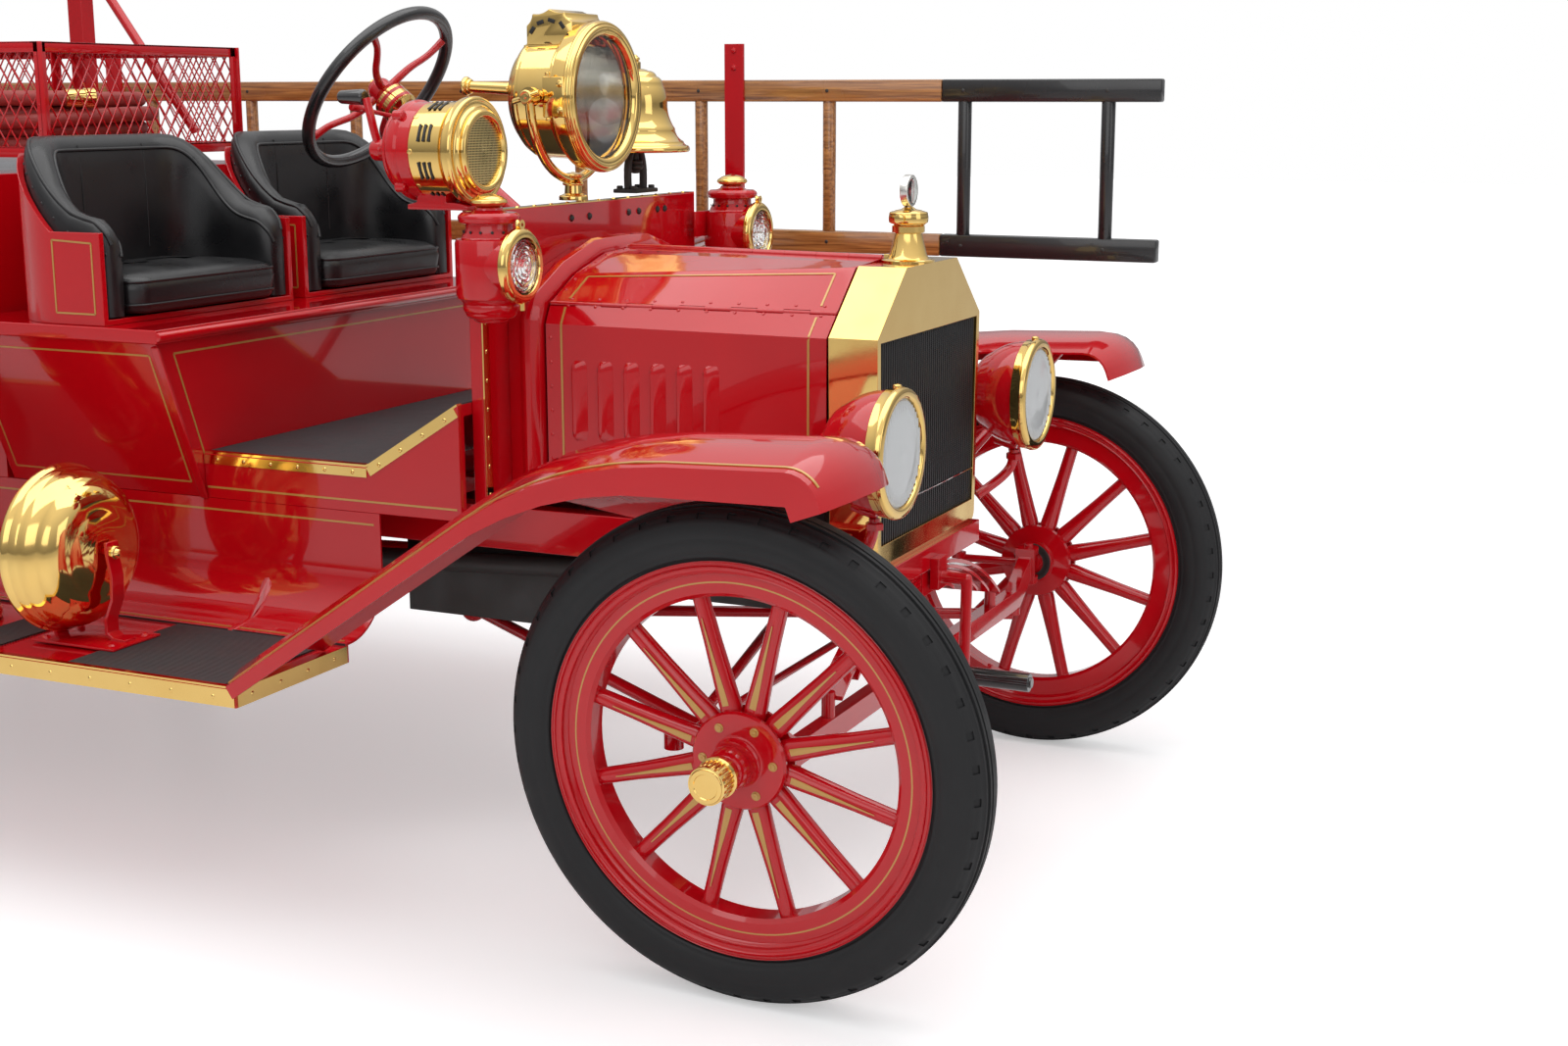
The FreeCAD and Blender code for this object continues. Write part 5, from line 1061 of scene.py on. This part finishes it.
def strip(name, path, normals, width, proud=0.6):
    """A thin flat band that lies on a surface along a path."""
    if isinstance(normals, Vector):
        normals = [normals] * len(path)
    sections = []
    for k, (point, normal) in enumerate(zip(path, normals)):
        run = (path[min(k + 1, len(path) - 1)] - path[max(k - 1, 0)]).normalized()
        side = run.cross(normal).normalized() * width * MM / 2
        top, bottom = point + normal * proud * MM, point - normal * 0.6 * MM
        sections.append([bottom - side, top - side, top + side, bottom + side, bottom - side])
    return skin(name, sections, 30)


def heads(name, spots, radius=4.0, proud=2.6, sides=12):
    """Small domed heads, one at each place and facing."""
    first = revolve("head", [(-0.5, radius), (0, radius), (proud * 0.7, radius * 0.72),
        (proud, 0)], (0, 0, 0), ALONG, sides)
    copies = []
    for place, facing_way in spots:
        turn = ALONG.rotation_difference(facing_way).to_matrix().to_4x4()
        copies.append(again(first, "head", Matrix.Translation(place) @ turn))
    bpy.data.objects.remove(first)
    return joined(name, *copies)


def gold_lines(name, path, normal, width=3.4, shut=True, body="chassis"):
    """Gold lines along the straight runs between points on one surface."""
    runs = list(zip(path, path[1:] + (path[:1] if shut else [])))
    return put(joined(name, *[strip("line", [a, b], normal, width) for a, b in runs]), body, gold)


def edging(name, start, end, normal, width, screws, proud=1.8):
    """A brass strip along an edge with its row of screws."""
    band = strip("band", [start, end], normal, width, proud)
    spots = [(start.lerp(end, (k + 0.5) / screws) + normal * proud * MM, normal)
        for k in range(screws)]
    return fixed(joined(name, band, heads("screws", spots, 3.8, 1.8)), brass)


# Hood: gold lines, rivets along the hinges and pressed louvres
HOOD_FRONT = (-72, ((6, 1048), (60, 1045), (123, 1041), (203, 973), (246, 936), (246, 650)))
HOOD_BACK = (-560, ((6, 1053), (95, 1050), (202, 1021), (288, 979), (306, 945), (306, 650)))


def hood_spot(x, place, sign):
    """A point of the hood's skin and its facing; place counts the section's corners."""
    share = (x - HOOD_FRONT[0]) / (HOOD_BACK[0] - HOOD_FRONT[0])
    corners = [Vector(a).lerp(Vector(b), share) for a, b in zip(HOOD_FRONT[1], HOOD_BACK[1])]
    index = min(int(place), len(corners) - 2)
    run = (corners[index + 1] - corners[index]).normalized()
    spot = corners[index].lerp(corners[index + 1], place - index)
    return at(x, spot.x * sign, spot.y), Vector((0, -run.y * sign, run.x)).normalized()


def louvre(x, sign):
    """One pressed louvre with rounded ends, and a black strip behind it: painted shade in its
    mouth.
    """
    foot, out = hood_spot(x, 4.5, sign)
    along = (hood_spot(x + 9, 4.5, sign)[0] - hood_spot(x - 9, 4.5, sign)[0]).normalized()
    loop = ((-13, -0.8), (-13, 4.4), (-10.5, 6), (-5, 5.6), (4, 3), (13, 0.3), (13, -0.8),
        (-13, -0.8))
    sections = []
    for z, swell in ((748, 0.06), (751, 0.5), (756, 0.85), (766, 1), (866, 1), (876, 0.85),
            (881, 0.5), (884, 0.06)):
        middle_point = Vector((foot.x, foot.y, z * MM))
        sections.append([middle_point + along * u * (0.6 + 0.4 * swell) * MM
            + out * (v * swell if v > 0 else v) * MM for u, v in loop])
    # A flat black strip along the louvre's open rear edge, painted shade where the mouth is.
    mouth_shade = [Vector((foot.x, foot.y, z * MM)) - along * 13.1 * MM + out * 2.3 * MM
        for z in (759, 873)]
    return skin("louvre", sections, 50), strip("mouth_shade", mouth_shade, -along, 3.2, 0.4)


def hood():
    for side, sign in SIDES:
        for node, ends, row, low_end, step in (
                ("hood_top_" + side, (2.13, 2.5, 2.86), 2.86, 0.4, 0.36),
                ("hood_side_" + side, (3.2, 3.7, 3.97, 4.03, 4.5, 4.95), 3.14, 4.08, 0.14)):
            dressed(node, red, 1.0)
            body = body_of(node)
            bands = []
            for x in (-102, -532):
                spots = [hood_spot(x, place, sign) for place in ends]
                bands.append(strip("line", *zip(*spots), 3.6, 1.0))
            if "top" in node:
                spots = [hood_spot(x, ends[0], sign) for x in (-102, -210, -320, -430, -532)]
                bands.append(strip("line", *zip(*spots), 3.0, 1.2))
            put(joined(node + "_lines", *bands), body, gold)
            spots = [hood_spot(-96 - 48 * k, row, sign) for k in range(10)]
            spots += [hood_spot(-552, low_end + step * k, sign) for k in range(7)]
            put(heads(node + "_rivets", spots, 3.2, 1.7, 10), body, red)
        pairs = [louvre(-500 + 46.6 * k, sign) for k in range(6)]
        put(joined("louvres_" + side, *[pair[0] for pair in pairs]), "hood_side_" + side, red)
        put(joined("louvre_mouth_shades_" + side, *[pair[1] for pair in pairs]), "hood_side_" + side,
            core_black_and_shade)


# Dash and floor
DASH_FRONT = -630
DASH_HALF = 395
DASH_TOP = 1133


def dash_and_floor():
    dressed("cowl", red, 1.2)
    dressed("dash", red, 2.0)
    for side, sign in SIDES:
        edging("dash_edge_" + side, at(DASH_FRONT, (DASH_HALF - 10) * sign, 636),
            at(DASH_FRONT, (DASH_HALF - 10) * sign, 975), ALONG, 19, 7)
    edging("dash_cap", at(-642, -DASH_HALF, DASH_TOP), at(-642, DASH_HALF, DASH_TOP), UP, 22, 14)
    spots = [(at(DASH_FRONT, y, 1108), ALONG) for y in (-352, -318, -92, -28, 120, 160, 235, 265)]
    fixed(heads("dash_bolts", spots, 7, 5, 6), iron)
    dressed("floor", red, 1.5)
    rim = [at(x, 0, z) for x, z in ((-1188, 700), (-1000, 700), (-845, 700), (-835, 704),
        (-656, 816))]
    slope = Vector((-118, 0, 199)).normalized()
    ups = [UP, UP, UP, (UP + slope).normalized(), slope]
    fixed(strip("floor_mat", rim, ups, SIDE_HALF * 2 - 30, 3.2), mat)
    for side, sign in SIDES:
        out = ACROSS * sign
        shift = Vector((0, (SIDE_HALF - 8) * MM * sign, 0))
        fixed(strip("floor_band_" + side, [p + shift for p in rim], ups, 15, 3.6), brass)
        lower = [at(-1188, SIDE_HALF * sign, 690), at(-842, SIDE_HALF * sign, 690)]
        upper = [at(-838, SIDE_HALF * sign, 692), at(-658, SIDE_HALF * sign, 805)]
        edging("floor_edge_" + side, *lower, out, 16, 6)
        edging("toe_edge_" + side, *upper, out, 16, 4)
        gold_lines("floor_line_" + side, [at(-1185, SIDE_HALF * sign, 640),
            at(-662, SIDE_HALF * sign, 640)], out, shut=False)


# Seat box and its lines
def seat_box():
    dressed("seat_box", red, 2.5)
    for side, sign in SIDES:
        out = Vector((0, 286 * sign, -108)).normalized()

        def flare(x, share):
            return at(x, (SIDE_HALF + 108 * share) * sign, 620 + 286 * share)

        gold_lines("box_lines_" + side, [flare(-1620, 0.1), flare(-1212, 0.1), flare(-1212, 0.92),
            flare(-1620, 0.92)], out)
        corner = [flare(-1192, 0.0), flare(-1192, 0.98)]
        fixed(bevelled(strip("box_moulding_" + side, corner, out, 16, 5), 2), red)
    front = [at(-1190, y, z) for y, z in ((-420, 655), (420, 655), (500, 884), (-500, 884))]
    gold_lines("box_front_lines", front, ALONG)
    fixed(bar("board_moulding", at(-1176, -556, 918), at(-1176, 556, 918), 8, edge=2), red)


# Bucket seats: sheet shells, padded leather linings and cushions
SEAT_CENTRE = 281
SEAT_HALF = 262
SEAT_FRONT = -1300
SEAT_BACK = -1560
LINING_INSET = 12.6  # from the shell's outside to the lining's back
QUARTER = 1 - math.cos(math.pi / 4)  # the sag of a quarter circle, as a share of its radius


def seat_plan(front, back, half, nose, corner):
    """A cushion's outline from above, clockwise from its rear left corner."""
    return outline([(back + corner, half), (front - nose, half),
        (front, half - nose, QUARTER * nose), (front, nose - half),
        (front - nose, -half, QUARTER * nose), (back + corner, -half),
        (back, corner - half, QUARTER * corner), (back, half - corner),
        (back + corner, half, QUARTER * corner)])


def crest(x):
    """The height of the lining's top: low round arms that sweep up to the back."""
    share = min(max((x - SEAT_BACK - 20) / 175, 0), 1)
    sweep = share * share * (3 - 2 * share)
    arm = 1128 - 22 * min(max((x - SEAT_BACK - 150) / 110, 0), 1)
    return 1250 + (arm - 1250) * sweep


def lining_path(inset):
    """Places round the bucket from its right front to its left front, with their facing."""
    half, corner = SEAT_HALF - inset, 150 - inset
    back = SEAT_BACK + inset
    arm = [SEAT_FRONT - d for d in (0, 5, 14, 28, 50, 80)]
    corners = [(x, -half) for x in arm] + [(back + corner, -half)]
    corners += [(back, corner - half, QUARTER * corner)]
    corners += [(back, (half - corner) * s) for s in (-0.5, 0, 0.5)] + [(back, half - corner)]
    corners += [(back + corner, half, QUARTER * corner)] + [(x, half) for x in reversed(arm)]
    points = outline(corners)
    path = []
    for k, point in enumerate(points):
        run = points[min(k + 1, len(points) - 1)] - points[max(k - 1, 0)]
        path.append((point, Vector((-run.y, run.x)).normalized()))
    return path


def lining_section(point, out, centre):
    """One section of the padded wall: straight behind, rolled on top, full inside."""
    top = crest(point.x)
    ahead = SEAT_FRONT - point.x
    close = min(1, 0.55 + 0.45 * math.sqrt(min(ahead, 28) / 28))
    top -= 34 * (1 - math.sqrt(min(ahead, 28) / 28))
    loop = [(0, 943), (0, top - 30), (-2, top - 14), (-9, top - 4), (-20, top), (-34, top - 2),
        (-45, top - 11), (-51, top - 26), (-54, top - 60), (-55, (top + 943) / 2), (-51, 965),
        (-48, 943), (0, 943)]
    section = []
    for u, z in loop:
        deep = -26 + (u + 26) * close
        place = Vector((point.x, point.y)) + out * deep
        section.append(at(place.x, place.y + centre, z))
    return section


def seats():
    dressed("seat_shells", red, 1.5)
    for side, sign in SIDES:
        centre = SEAT_CENTRE * sign
        walls = [lining_section(point, out, centre) for point, out in lining_path(LINING_INSET)]
        lining = skin("seat_lining_" + side, walls, 70)
        fixed(lining, leather, *(["seat_linings"] if sign > 0 else []))
        for row in (3, 7):
            welt = tube("seat_welt_%s_%d" % (side, row), [wall[row] for wall in walls], 3.4, 3)
            fixed(welt, leather)
        tacks = [(wall[1] - Vector((0, 0, 6 * MM)), Vector((out.x, out.y, 0)))
            for wall, (_, out) in zip(walls, lining_path(LINING_INSET))]
        fixed(heads("seat_tacks_" + side, tacks[1:-1], 3.2, 1.8, 8), leather)
        for share in (-1, 1):
            x, y = SEAT_BACK + LINING_INSET + 54.5, centre + 84 * share
            seam = tube("seat_seam_%s_%d" % (side, share + 1), [at(x - 6, y, 1232),
                at(x - 1, y, 1196), at(x + 0.4, y, 1120), at(x - 1, y, 1040)], 1.9, 4)
            fixed(seam, leather)
        half = SEAT_HALF - 65
        rings = []
        for z, inset in ((944, 12), (946, 5), (952, 1), (962, 0), (985, -3), (998, -1), (1007, 6),
                (1013, 18), (1017, 36), (1021, 70), (1024, 110), (1026, 150)):
            ring = seat_plan(SEAT_FRONT + 19 - inset, SEAT_BACK + 66 + inset * 0.6, half - inset,
                max(34 - inset * 0.2, 10), max(84 - inset * 0.4, 12))
            rings.append([at(p.x, p.y + centre, z) for p in ring])
        cushion = skin("seat_cushion_" + side, rings, 70)
        fixed(cushion, leather, *(["seat_cushions"] if sign > 0 else []))
        rim = seat_plan(SEAT_FRONT + 20, SEAT_BACK + 67, half + 1, 34, 84)
        for z in (960, 1001):
            line = [at(p.x, p.y + centre, z) for p in rim]
            fixed(tube("cushion_welt_%s_%d" % (side, z), line, 2.6, 3), leather)
        for way in (-1, 1):
            y = centre + (SEAT_HALF + 0.4) * way
            gold_lines("seat_lines_%s_%d" % (side, way + 1), [at(-1405, y, 950), at(-1318, y, 950),
                at(-1318, y, 1072), at(-1405, y, 1076)], ACROSS * way, 3)


# Fenders with a gold line along the outer edge
FENDER_SKIN_Z = 418


def along_path(start, heading, legs):
    """Stations (x, z, heading) along straight legs and arcs."""
    x, z = start
    angle = math.radians(heading)
    stations = [(x, z, angle)]
    for length, turn in legs:
        steps = 1 if turn == 0 else 8
        for _ in range(steps):
            bend = math.radians(turn) / steps
            x += length / steps * math.cos(angle + bend / 2)
            z += length / steps * math.sin(angle + bend / 2)
            angle += bend
            stations.append((x, z, angle))
    return stations


def fender_line(name, stations, sign, y, height, tilt):
    tilt = math.radians(tilt)
    path, ways = [], []
    for x, z, angle in stations:
        up_x, up_z = -math.sin(angle), math.cos(angle)
        path.append(at(x + up_x * height, y * sign, z + up_z * height))
        ways.append(Vector((up_x * math.cos(tilt), sign * math.sin(tilt), up_z * math.cos(tilt))))
    return fixed(strip(name, path, ways, 3.6, 1.2), gold)


def fenders():
    bend = 620 * math.radians(32)
    before = along_path((-835, FENDER_SKIN_Z), 34, [(535, 0), (bend, -32)])
    gap = 167 - before[-1][0] - 50
    front = along_path((-835, FENDER_SKIN_Z), 34, [(535, 0), (bend, -32), (gap, 0),
        (50 * math.radians(66), -66)])
    rear = []
    for k in range(33):
        angle = math.radians(186 - 180 * k / 32)
        rear.append((450 * math.cos(angle) - 2540, 450 * math.sin(angle) + 381,
            angle - math.pi / 2))
    for side, sign in SIDES:
        for end, stations in (("front", front), ("rear", rear)):
            dressed("%s_fender_%s" % (end, side), red, 1.2, 40)
            fender_line("%s_fender_line_%s" % (end, side), stations[:-1], sign, 826, 4.9, 21.5)


# Running boards: ribbed mats in brass edging, and lines on the aprons
def ribbed_finish():
    """Black matting with fine ribs along the board."""
    material = finish("ribbed_matting", (0.020, 0.020, 0.022), (0.5, 0.66), relief=0)
    tree = material.node_tree
    place = shade_node(tree, "TexCoord")
    ribs = shade_node(tree, "TexWave", Scale=52)
    ribs.bands_direction = "Y"
    bump = shade_node(tree, "Bump", Strength=0.9, Distance=0.002)
    wire_up(tree, (place, "Object", ribs, "Vector"), (ribs, "Fac", bump, "Height"),
        (bump, "Normal", tree.nodes["Principled BSDF"], "Normal"))
    return material


def trimmed_irons(board):
    """Take off what the irons show above the apron's curve and close the sheet there."""
    select_none(board)
    for face in board.data.polygons:
        across = abs(face.center.y / MM) - 536
        above = face.center.z / MM - 517
        near = min(abs((face.center.x - front_x) / MM - x) for x in (-1060, -1950)) < 30
        face.select = near and across < 2 and above < 2 and math.hypot(across, above) < 97.5
    bpy.ops.object.mode_set(mode="EDIT")
    bpy.ops.mesh.delete(type="FACE")
    bpy.ops.mesh.select_all(action="SELECT")
    bpy.ops.mesh.fill_holes(sides=0)
    leave()


def running_boards():
    ribbed = ribbed_finish()
    for side, sign in SIDES:
        board = dressed("running_board_" + side, red, 0.8)
        painted(board, ribbed, lambda face: 414.6 * MM < face.center.z < 417.6 * MM
            and 545 < abs(face.center.y / MM) < 834)
        trimmed_irons(board)
        out = ACROSS * sign
        edging("board_edge_" + side, at(-2150, 833 * sign, 399), at(-822, 833 * sign, 399), out,
            29, 16)
        edging("board_front_" + side, at(-820, 546 * sign, 399), at(-820, 830 * sign, 399), ALONG,
            29, 4)
        fixed(strip("board_nosing_" + side, [at(-2150, 827 * sign, 414),
            at(-822, 827 * sign, 414)], UP, 11, 3.4), brass)
        gold_lines("apron_line_" + side, [at(-2140, SIDE_HALF * sign, 600),
            at(-832, SIDE_HALF * sign, 600)], out, shut=False)
        gold_lines("apron_foot_line_" + side, [at(-2140, 534 * sign, 418.4),
            at(-832, 534 * sign, 418.4)], UP, shut=False)


# Hose basket: angle frame with woven diamonds
BASKET_FRONT = -1653
BASKET_BACK = -2640
BASKET_HALF = 285
BASKET_LOW = 1206
BASKET_TOP = 1420
POST_FOOT = 1180


def wire(start, end, radius=1.5):
    deselect()
    bpy.ops.mesh.primitive_cone_add(vertices=6, radius1=radius * MM, radius2=radius * MM,
        depth=(end - start).length)
    return stand(bpy.context.object, (start + end) / 2, (end - start).normalized())


def lattice(origin, along, length, out):
    """Crossing wires over one wall, each clipped to the wall's height."""
    pitch, height = 30, BASKET_TOP - BASKET_LOW - 10
    lean = height * 30 / 46
    wires = []
    for way in (1, -1):
        k = -int(lean / pitch) - 1
        while k * pitch < length + lean:
            foot = k * pitch
            head = foot + lean * way
            k += 1
            ends = (0 - foot) / (head - foot), (length - foot) / (head - foot)
            low_share, high_share = max(0, min(ends)), min(1, max(ends))
            if high_share - low_share < 0.02:
                continue
            wires.append(wire(*[origin + along * (foot + (head - foot) * s) * MM
                + UP * height * s * MM + out * way * 0.9 * MM for s in (low_share, high_share)]))
    return wires


def basket():
    angle, half = 20, BASKET_HALF
    spans = []
    for z in (BASKET_LOW, BASKET_TOP - angle):
        top = z + angle
        for sign in (1, -1):
            spans += [((BASKET_BACK, half * sign, foot), (BASKET_FRONT, (half - depth) * sign, top))
                for foot, depth in ((top - 4, angle), (z, 4))]
        for x, way in ((BASKET_FRONT, -1), (BASKET_BACK, 1)):
            spans += [((x, -half, foot), (x + depth * way, half, top))
                for foot, depth in ((z, 4), (top - 4, angle))]
    for x in (BASKET_FRONT - 4, (BASKET_FRONT + BASKET_BACK) / 2, BASKET_BACK):
        for sign in (1, -1):
            spans += [((x + shift, (half - depth) * sign, POST_FOOT),
                (x + end, half * sign, BASKET_TOP))
                for shift, depth, end in ((-8, 4, 12), (0, angle, 4))]
    parts = [block("bar", at(*start), at(*end), 1) for start, end in spans]
    fixed(joined("basket_frame", *parts), red, "hose_basket")
    wires = []
    length = BASKET_FRONT - BASKET_BACK
    for sign in (1, -1):
        wires += lattice(at(BASKET_BACK, (half - 7) * sign, BASKET_LOW + 5), ALONG, length,
            ACROSS * sign)
    for x in (BASKET_FRONT - 7, BASKET_BACK + 7):
        wires += lattice(at(x, -half, BASKET_LOW + 5), ACROSS, half * 2, ALONG)
    fixed(joined("basket_mesh", *wires), red)
    floor_plate = block("basket_floor", at(BASKET_BACK + 4, -half + 4, BASKET_LOW),
        at(BASKET_FRONT - 4, half - 4, BASKET_LOW + 4), 1)
    fixed(floor_plate, red)


# Ladder on edge: oak behind, black ahead
LADDER_Y = 820
LADDER_BLACK_FROM = -262
LADDER_FRONT = 200
LADDER_BACK = -3070


def ladder():
    for name, x0, x1, material in (("oak", LADDER_BACK, LADDER_BLACK_FROM, oak),
            ("black", LADDER_BLACK_FROM, LADDER_FRONT, lacquer)):
        parts = [block("rail", at(x0, LADDER_Y - 15, z), at(x1, LADDER_Y + 15, z + 46), 4)
            for z in (990, 1308)]
        for k in range(11):
            x = LADDER_FRONT - 110 - 305 * k
            if x0 < x < x1:
                parts.append(bar("rung", at(x, LADDER_Y, 1030), at(x, LADDER_Y, 1314), 14, edge=1))
        fixed(joined("ladder_" + name, *parts), material, *(["ladder"] if name == "oak" else []))
    spots = [(at(LADDER_FRONT - 110 - 305 * k, LADDER_Y - 15, z), -ACROSS) for k in range(11)
        for z in (1013, 1331)]
    fixed(heads("ladder_pins", spots, 4, 1.5), iron)
    dressed("ladder_holders", red, 1.5)
    spots = [(at(-735, LADDER_Y - 23.4, z), -ACROSS) for z in (1024, 1380, 1416)]
    fixed(heads("holder_bolts", spots, 7, 4, 6), red)


# Steering: black rim, four curved spokes, a banded gear case and two levers
def steering():
    rake = math.radians(37.4)
    down = Vector((math.cos(rake), 0, -math.sin(rake)))
    upward = Vector((math.sin(rake), 0, math.cos(rake)))
    hub = at(-1258, 232, 1335)
    dressed("steering_column", red, 1.0)
    deselect()
    bpy.ops.mesh.primitive_torus_add(major_radius=184 * MM, minor_radius=13 * MM,
        major_segments=112, minor_segments=24)
    rim = stand(bpy.context.object, hub, -down)
    rim.name = "steering_rim"
    put(smooth(rim), "steering_wheel", lacquer, "steering_wheel")
    bow = ((14, 0, 12), (40, -7, 12), (78, -10, 10), (116, 4, 6), (146, 9, 2), (178, 2, 0))
    spokes = []
    for k in range(4):
        turn = math.radians(45 + 90 * k)
        out = ACROSS * math.cos(turn) + upward * math.sin(turn)
        side = out.cross(down)
        line = [hub + (out * r + side * s + down * d) * MM for r, s, d in bow]
        spokes.append(tube("spoke", line, 8, 6, (1.05, 1, 0.9, 0.85, 0.85, 1)))
    boss = revolve("boss", [(-14, 0), (-14, 12), (-8, 20, 2), (2, 25, 1), (18, 25), (24, 20),
        (28, 20), (28, 0)], hub, down, 48)
    put(joined("steering_spokes", boss, *spokes), "steering_wheel", red)
    put(revolve("steering_nut", [(-22, 0), (-21, 7, -1), (-14, 10), (-13, 10), (-13, 0)], hub,
        down, 24), "steering_wheel", brass)
    case = revolve("gear_case", [(29, 0), (29, 28), (32, 36, 1), (38, 36), (40, 33), (44, 33),
        (46, 36), (56, 36), (58, 33), (62, 33), (64, 36), (68, 36), (72, 30), (78, 22), (84, 17),
        (84, 0)], hub, down, 64)
    fixed(case, brass)
    levers = []
    for sign in (1, -1):
        root = hub + down * 92 * MM
        levers.append(tube("lever", [root, root + ACROSS * 40 * sign * MM,
            root + (ACROSS * 90 * sign - down * 12) * MM, root + (ACROSS * 138 * sign - down * 28)
            * MM], 4.5))
        levers.append(bar("tip", root + (ACROSS * 134 * sign - down * 27) * MM,
            root + (ACROSS * 158 * sign - down * 35) * MM, 7, 9, edge=2))
    collar = revolve("collar", [(86, 0), (86, 21), (98, 21), (98, 0)], hub, down, 32)
    fixed(joined("steering_levers", collar, *levers), red)


# Gong and extinguisher on the right board
def gong_and_tank():
    x, y, z = -1230, -690, 572
    bowl = revolve("gong_bowl", [(-58, 131), (-62, 136), (-61, 142, 1.5), (-52, 143, 1),
        (-46, 138), (-30, 134, 1), (2, 116, 5), (26, 72, 6), (36, 22, 3), (38, 0), (34, 0),
        (22, 70, -8), (-2, 110, -6), (-32, 127, -3), (-58, 131)], at(x, y, z), ALONG, 112)
    fixed(bowl, brass, "gong")
    strap = strip("gong_strap", [at(x + 44, y, z + 18), at(x + 45, y, z - 6),
        at(x + 52, y, z - 40), at(x + 50, y, z - 80), at(x + 34, y, z - 116),
        at(x + 34, y, z - 140), at(x + 48, y, z - 151), at(x + 76, y, z - 153)],
        [Vector(n).normalized() for n in ((1, 0, 0), (1, 0, 0.1), (1, 0, 0.1), (1, 0, -0.2),
        (1, 0, -0.1), (1, 0, 0.3), (0.4, 0, 1), (0, 0, 1))], 28, 6)
    base = block("base", at(x - 88, y - 58, BOARD_TOP), at(x + 90, y + 58, BOARD_TOP + 5), 2)
    stay = block("stay", at(x - 80, y - 14, 420), at(x - 72, y + 14, z + 20), 2)
    shaft = bar("shaft", at(x - 74, y, z), at(x + 48, y, z), 7, edge=1)
    feet = heads("feet", [(at(x + dx, y + dy, BOARD_TOP + 5), UP) for dx in (-70, 70)
        for dy in (-40, 40)], 7, 4, 8)
    fixed(joined("gong_bracket", bevelled(strap, 1), base, stay, shaft, feet), red)
    fixed(revolve("gong_nut", [(50, 12), (56, 12), (60, 8, 1), (64, 6), (66, 0, 1)], at(x, y, z),
        ALONG, 24), brass)
    foot = at(-1560, y, BOARD_TOP)
    tank = revolve("extinguisher_tank", [(0, 0), (0, 84), (3, 88, 1), (16, 88), (20, 84),
        (388, 84), (392, 88), (404, 88), (408, 83), (440, 52, 9), (452, 40), (452, 30), (452, 0)],
        foot, UP, 80)
    fixed(tank, copper, "extinguisher")
    cap = revolve("extinguisher_cap", [(448, 36), (452, 44), (466, 44, 1), (470, 40), (474, 22),
        (477, 0)], foot, UP, 48)
    bands = [revolve("band", [(h, 85), (h, 90), (h + 22, 90), (h + 22, 85), (h, 85)], foot, UP, 80)
        for h in (96, 290)]
    fixed(joined("extinguisher_cap", cap, *bands), brass)


# Everything else keeps its own shape
def frame_and_running_gear():
    for node in ("frame_rails", "front_axle", "front_radius_rods", "rear_axle", "drive_tube",
            "knuckle_left", "knuckle_right", "tie_rod", "steering_arm", "rear_body", "rear_step",
            "hand_rail_hoop"):
        dressed(node, red, 1.5)
    for node in ("engine_block", "exhaust"):
        dressed(node, iron, 1.5)
    painted(dressed("starting_crank", red, 1.0), black, lambda face: face.center.z < 353 * MM
        and face.center.x > front_x + 106 * MM)
    for side, sign in SIDES:
        corners = ((-2960, 680), (-1700, 680), (-1700, 1130), (-2960, 1130))
        gold_lines("body_lines_" + side, [at(x, SIDE_HALF * sign, z) for x, z in corners],
            ACROSS * sign)
    fixed(block("core_line", at(15, -228, 652), at(17, 228, 654), 0.4), silver)


# Hose: one length wound flat in the basket
def hose():
    """Turns beside and on each other, in to the middle and out again, layer on layer."""
    diameter = 30
    points = []
    turns, steps, straight = 3, 18, 188
    centre_x, lowest, highest = -2136, 1226.5, 1316
    for layer in range(4):
        order = range(turns * steps) if layer % 2 == 0 else range(turns * steps, 0, -1)
        for number, k in enumerate(order):
            radius = 238 - diameter * k / steps
            turn = 2 * math.pi * ((k if layer % 2 == 0 else turns * steps * 2 - k) / steps)
            rise = min(1, max(0, (number - turns * steps + 6) / 6))
            z = lowest + (layer + rise) * diameter * 0.97
            x = radius * math.cos(turn)
            x += straight * max(-1, min(1, 2.6 * math.cos(turn)))
            points.append((x + centre_x, radius * math.sin(turn), min(z, highest)))
    obj = round_line([at(*point) for point in points], diameter / 2, 4, 4)
    obj.name = "hose"
    fixed(obj, hose_red, "hose_coil")
    couplings = []
    for end, inner in ((points[0], points[1]), (points[-1], points[-2])):
        way = (Vector(end) - Vector(inner)).normalized()
        couplings.append(revolve("coupling", [(-46, 0), (-46, 16.5), (-42, 18), (-10, 18),
            (-8, 20), (10, 20), (12, 18), (12, 0)], at(*end), way, 32))
    fixed(joined("hose_couplings", *couplings), brass)


def main():
    stage()
    wheels()
    headlamps()
    cowl_lamps()
    searchlight()
    siren()
    bell()
    radiator()
    hood()
    dash_and_floor()
    seat_box()
    seats()
    fenders()
    running_boards()
    basket()
    hose()
    ladder()
    steering()
    gong_and_tank()
    frame_and_running_gear()


main()
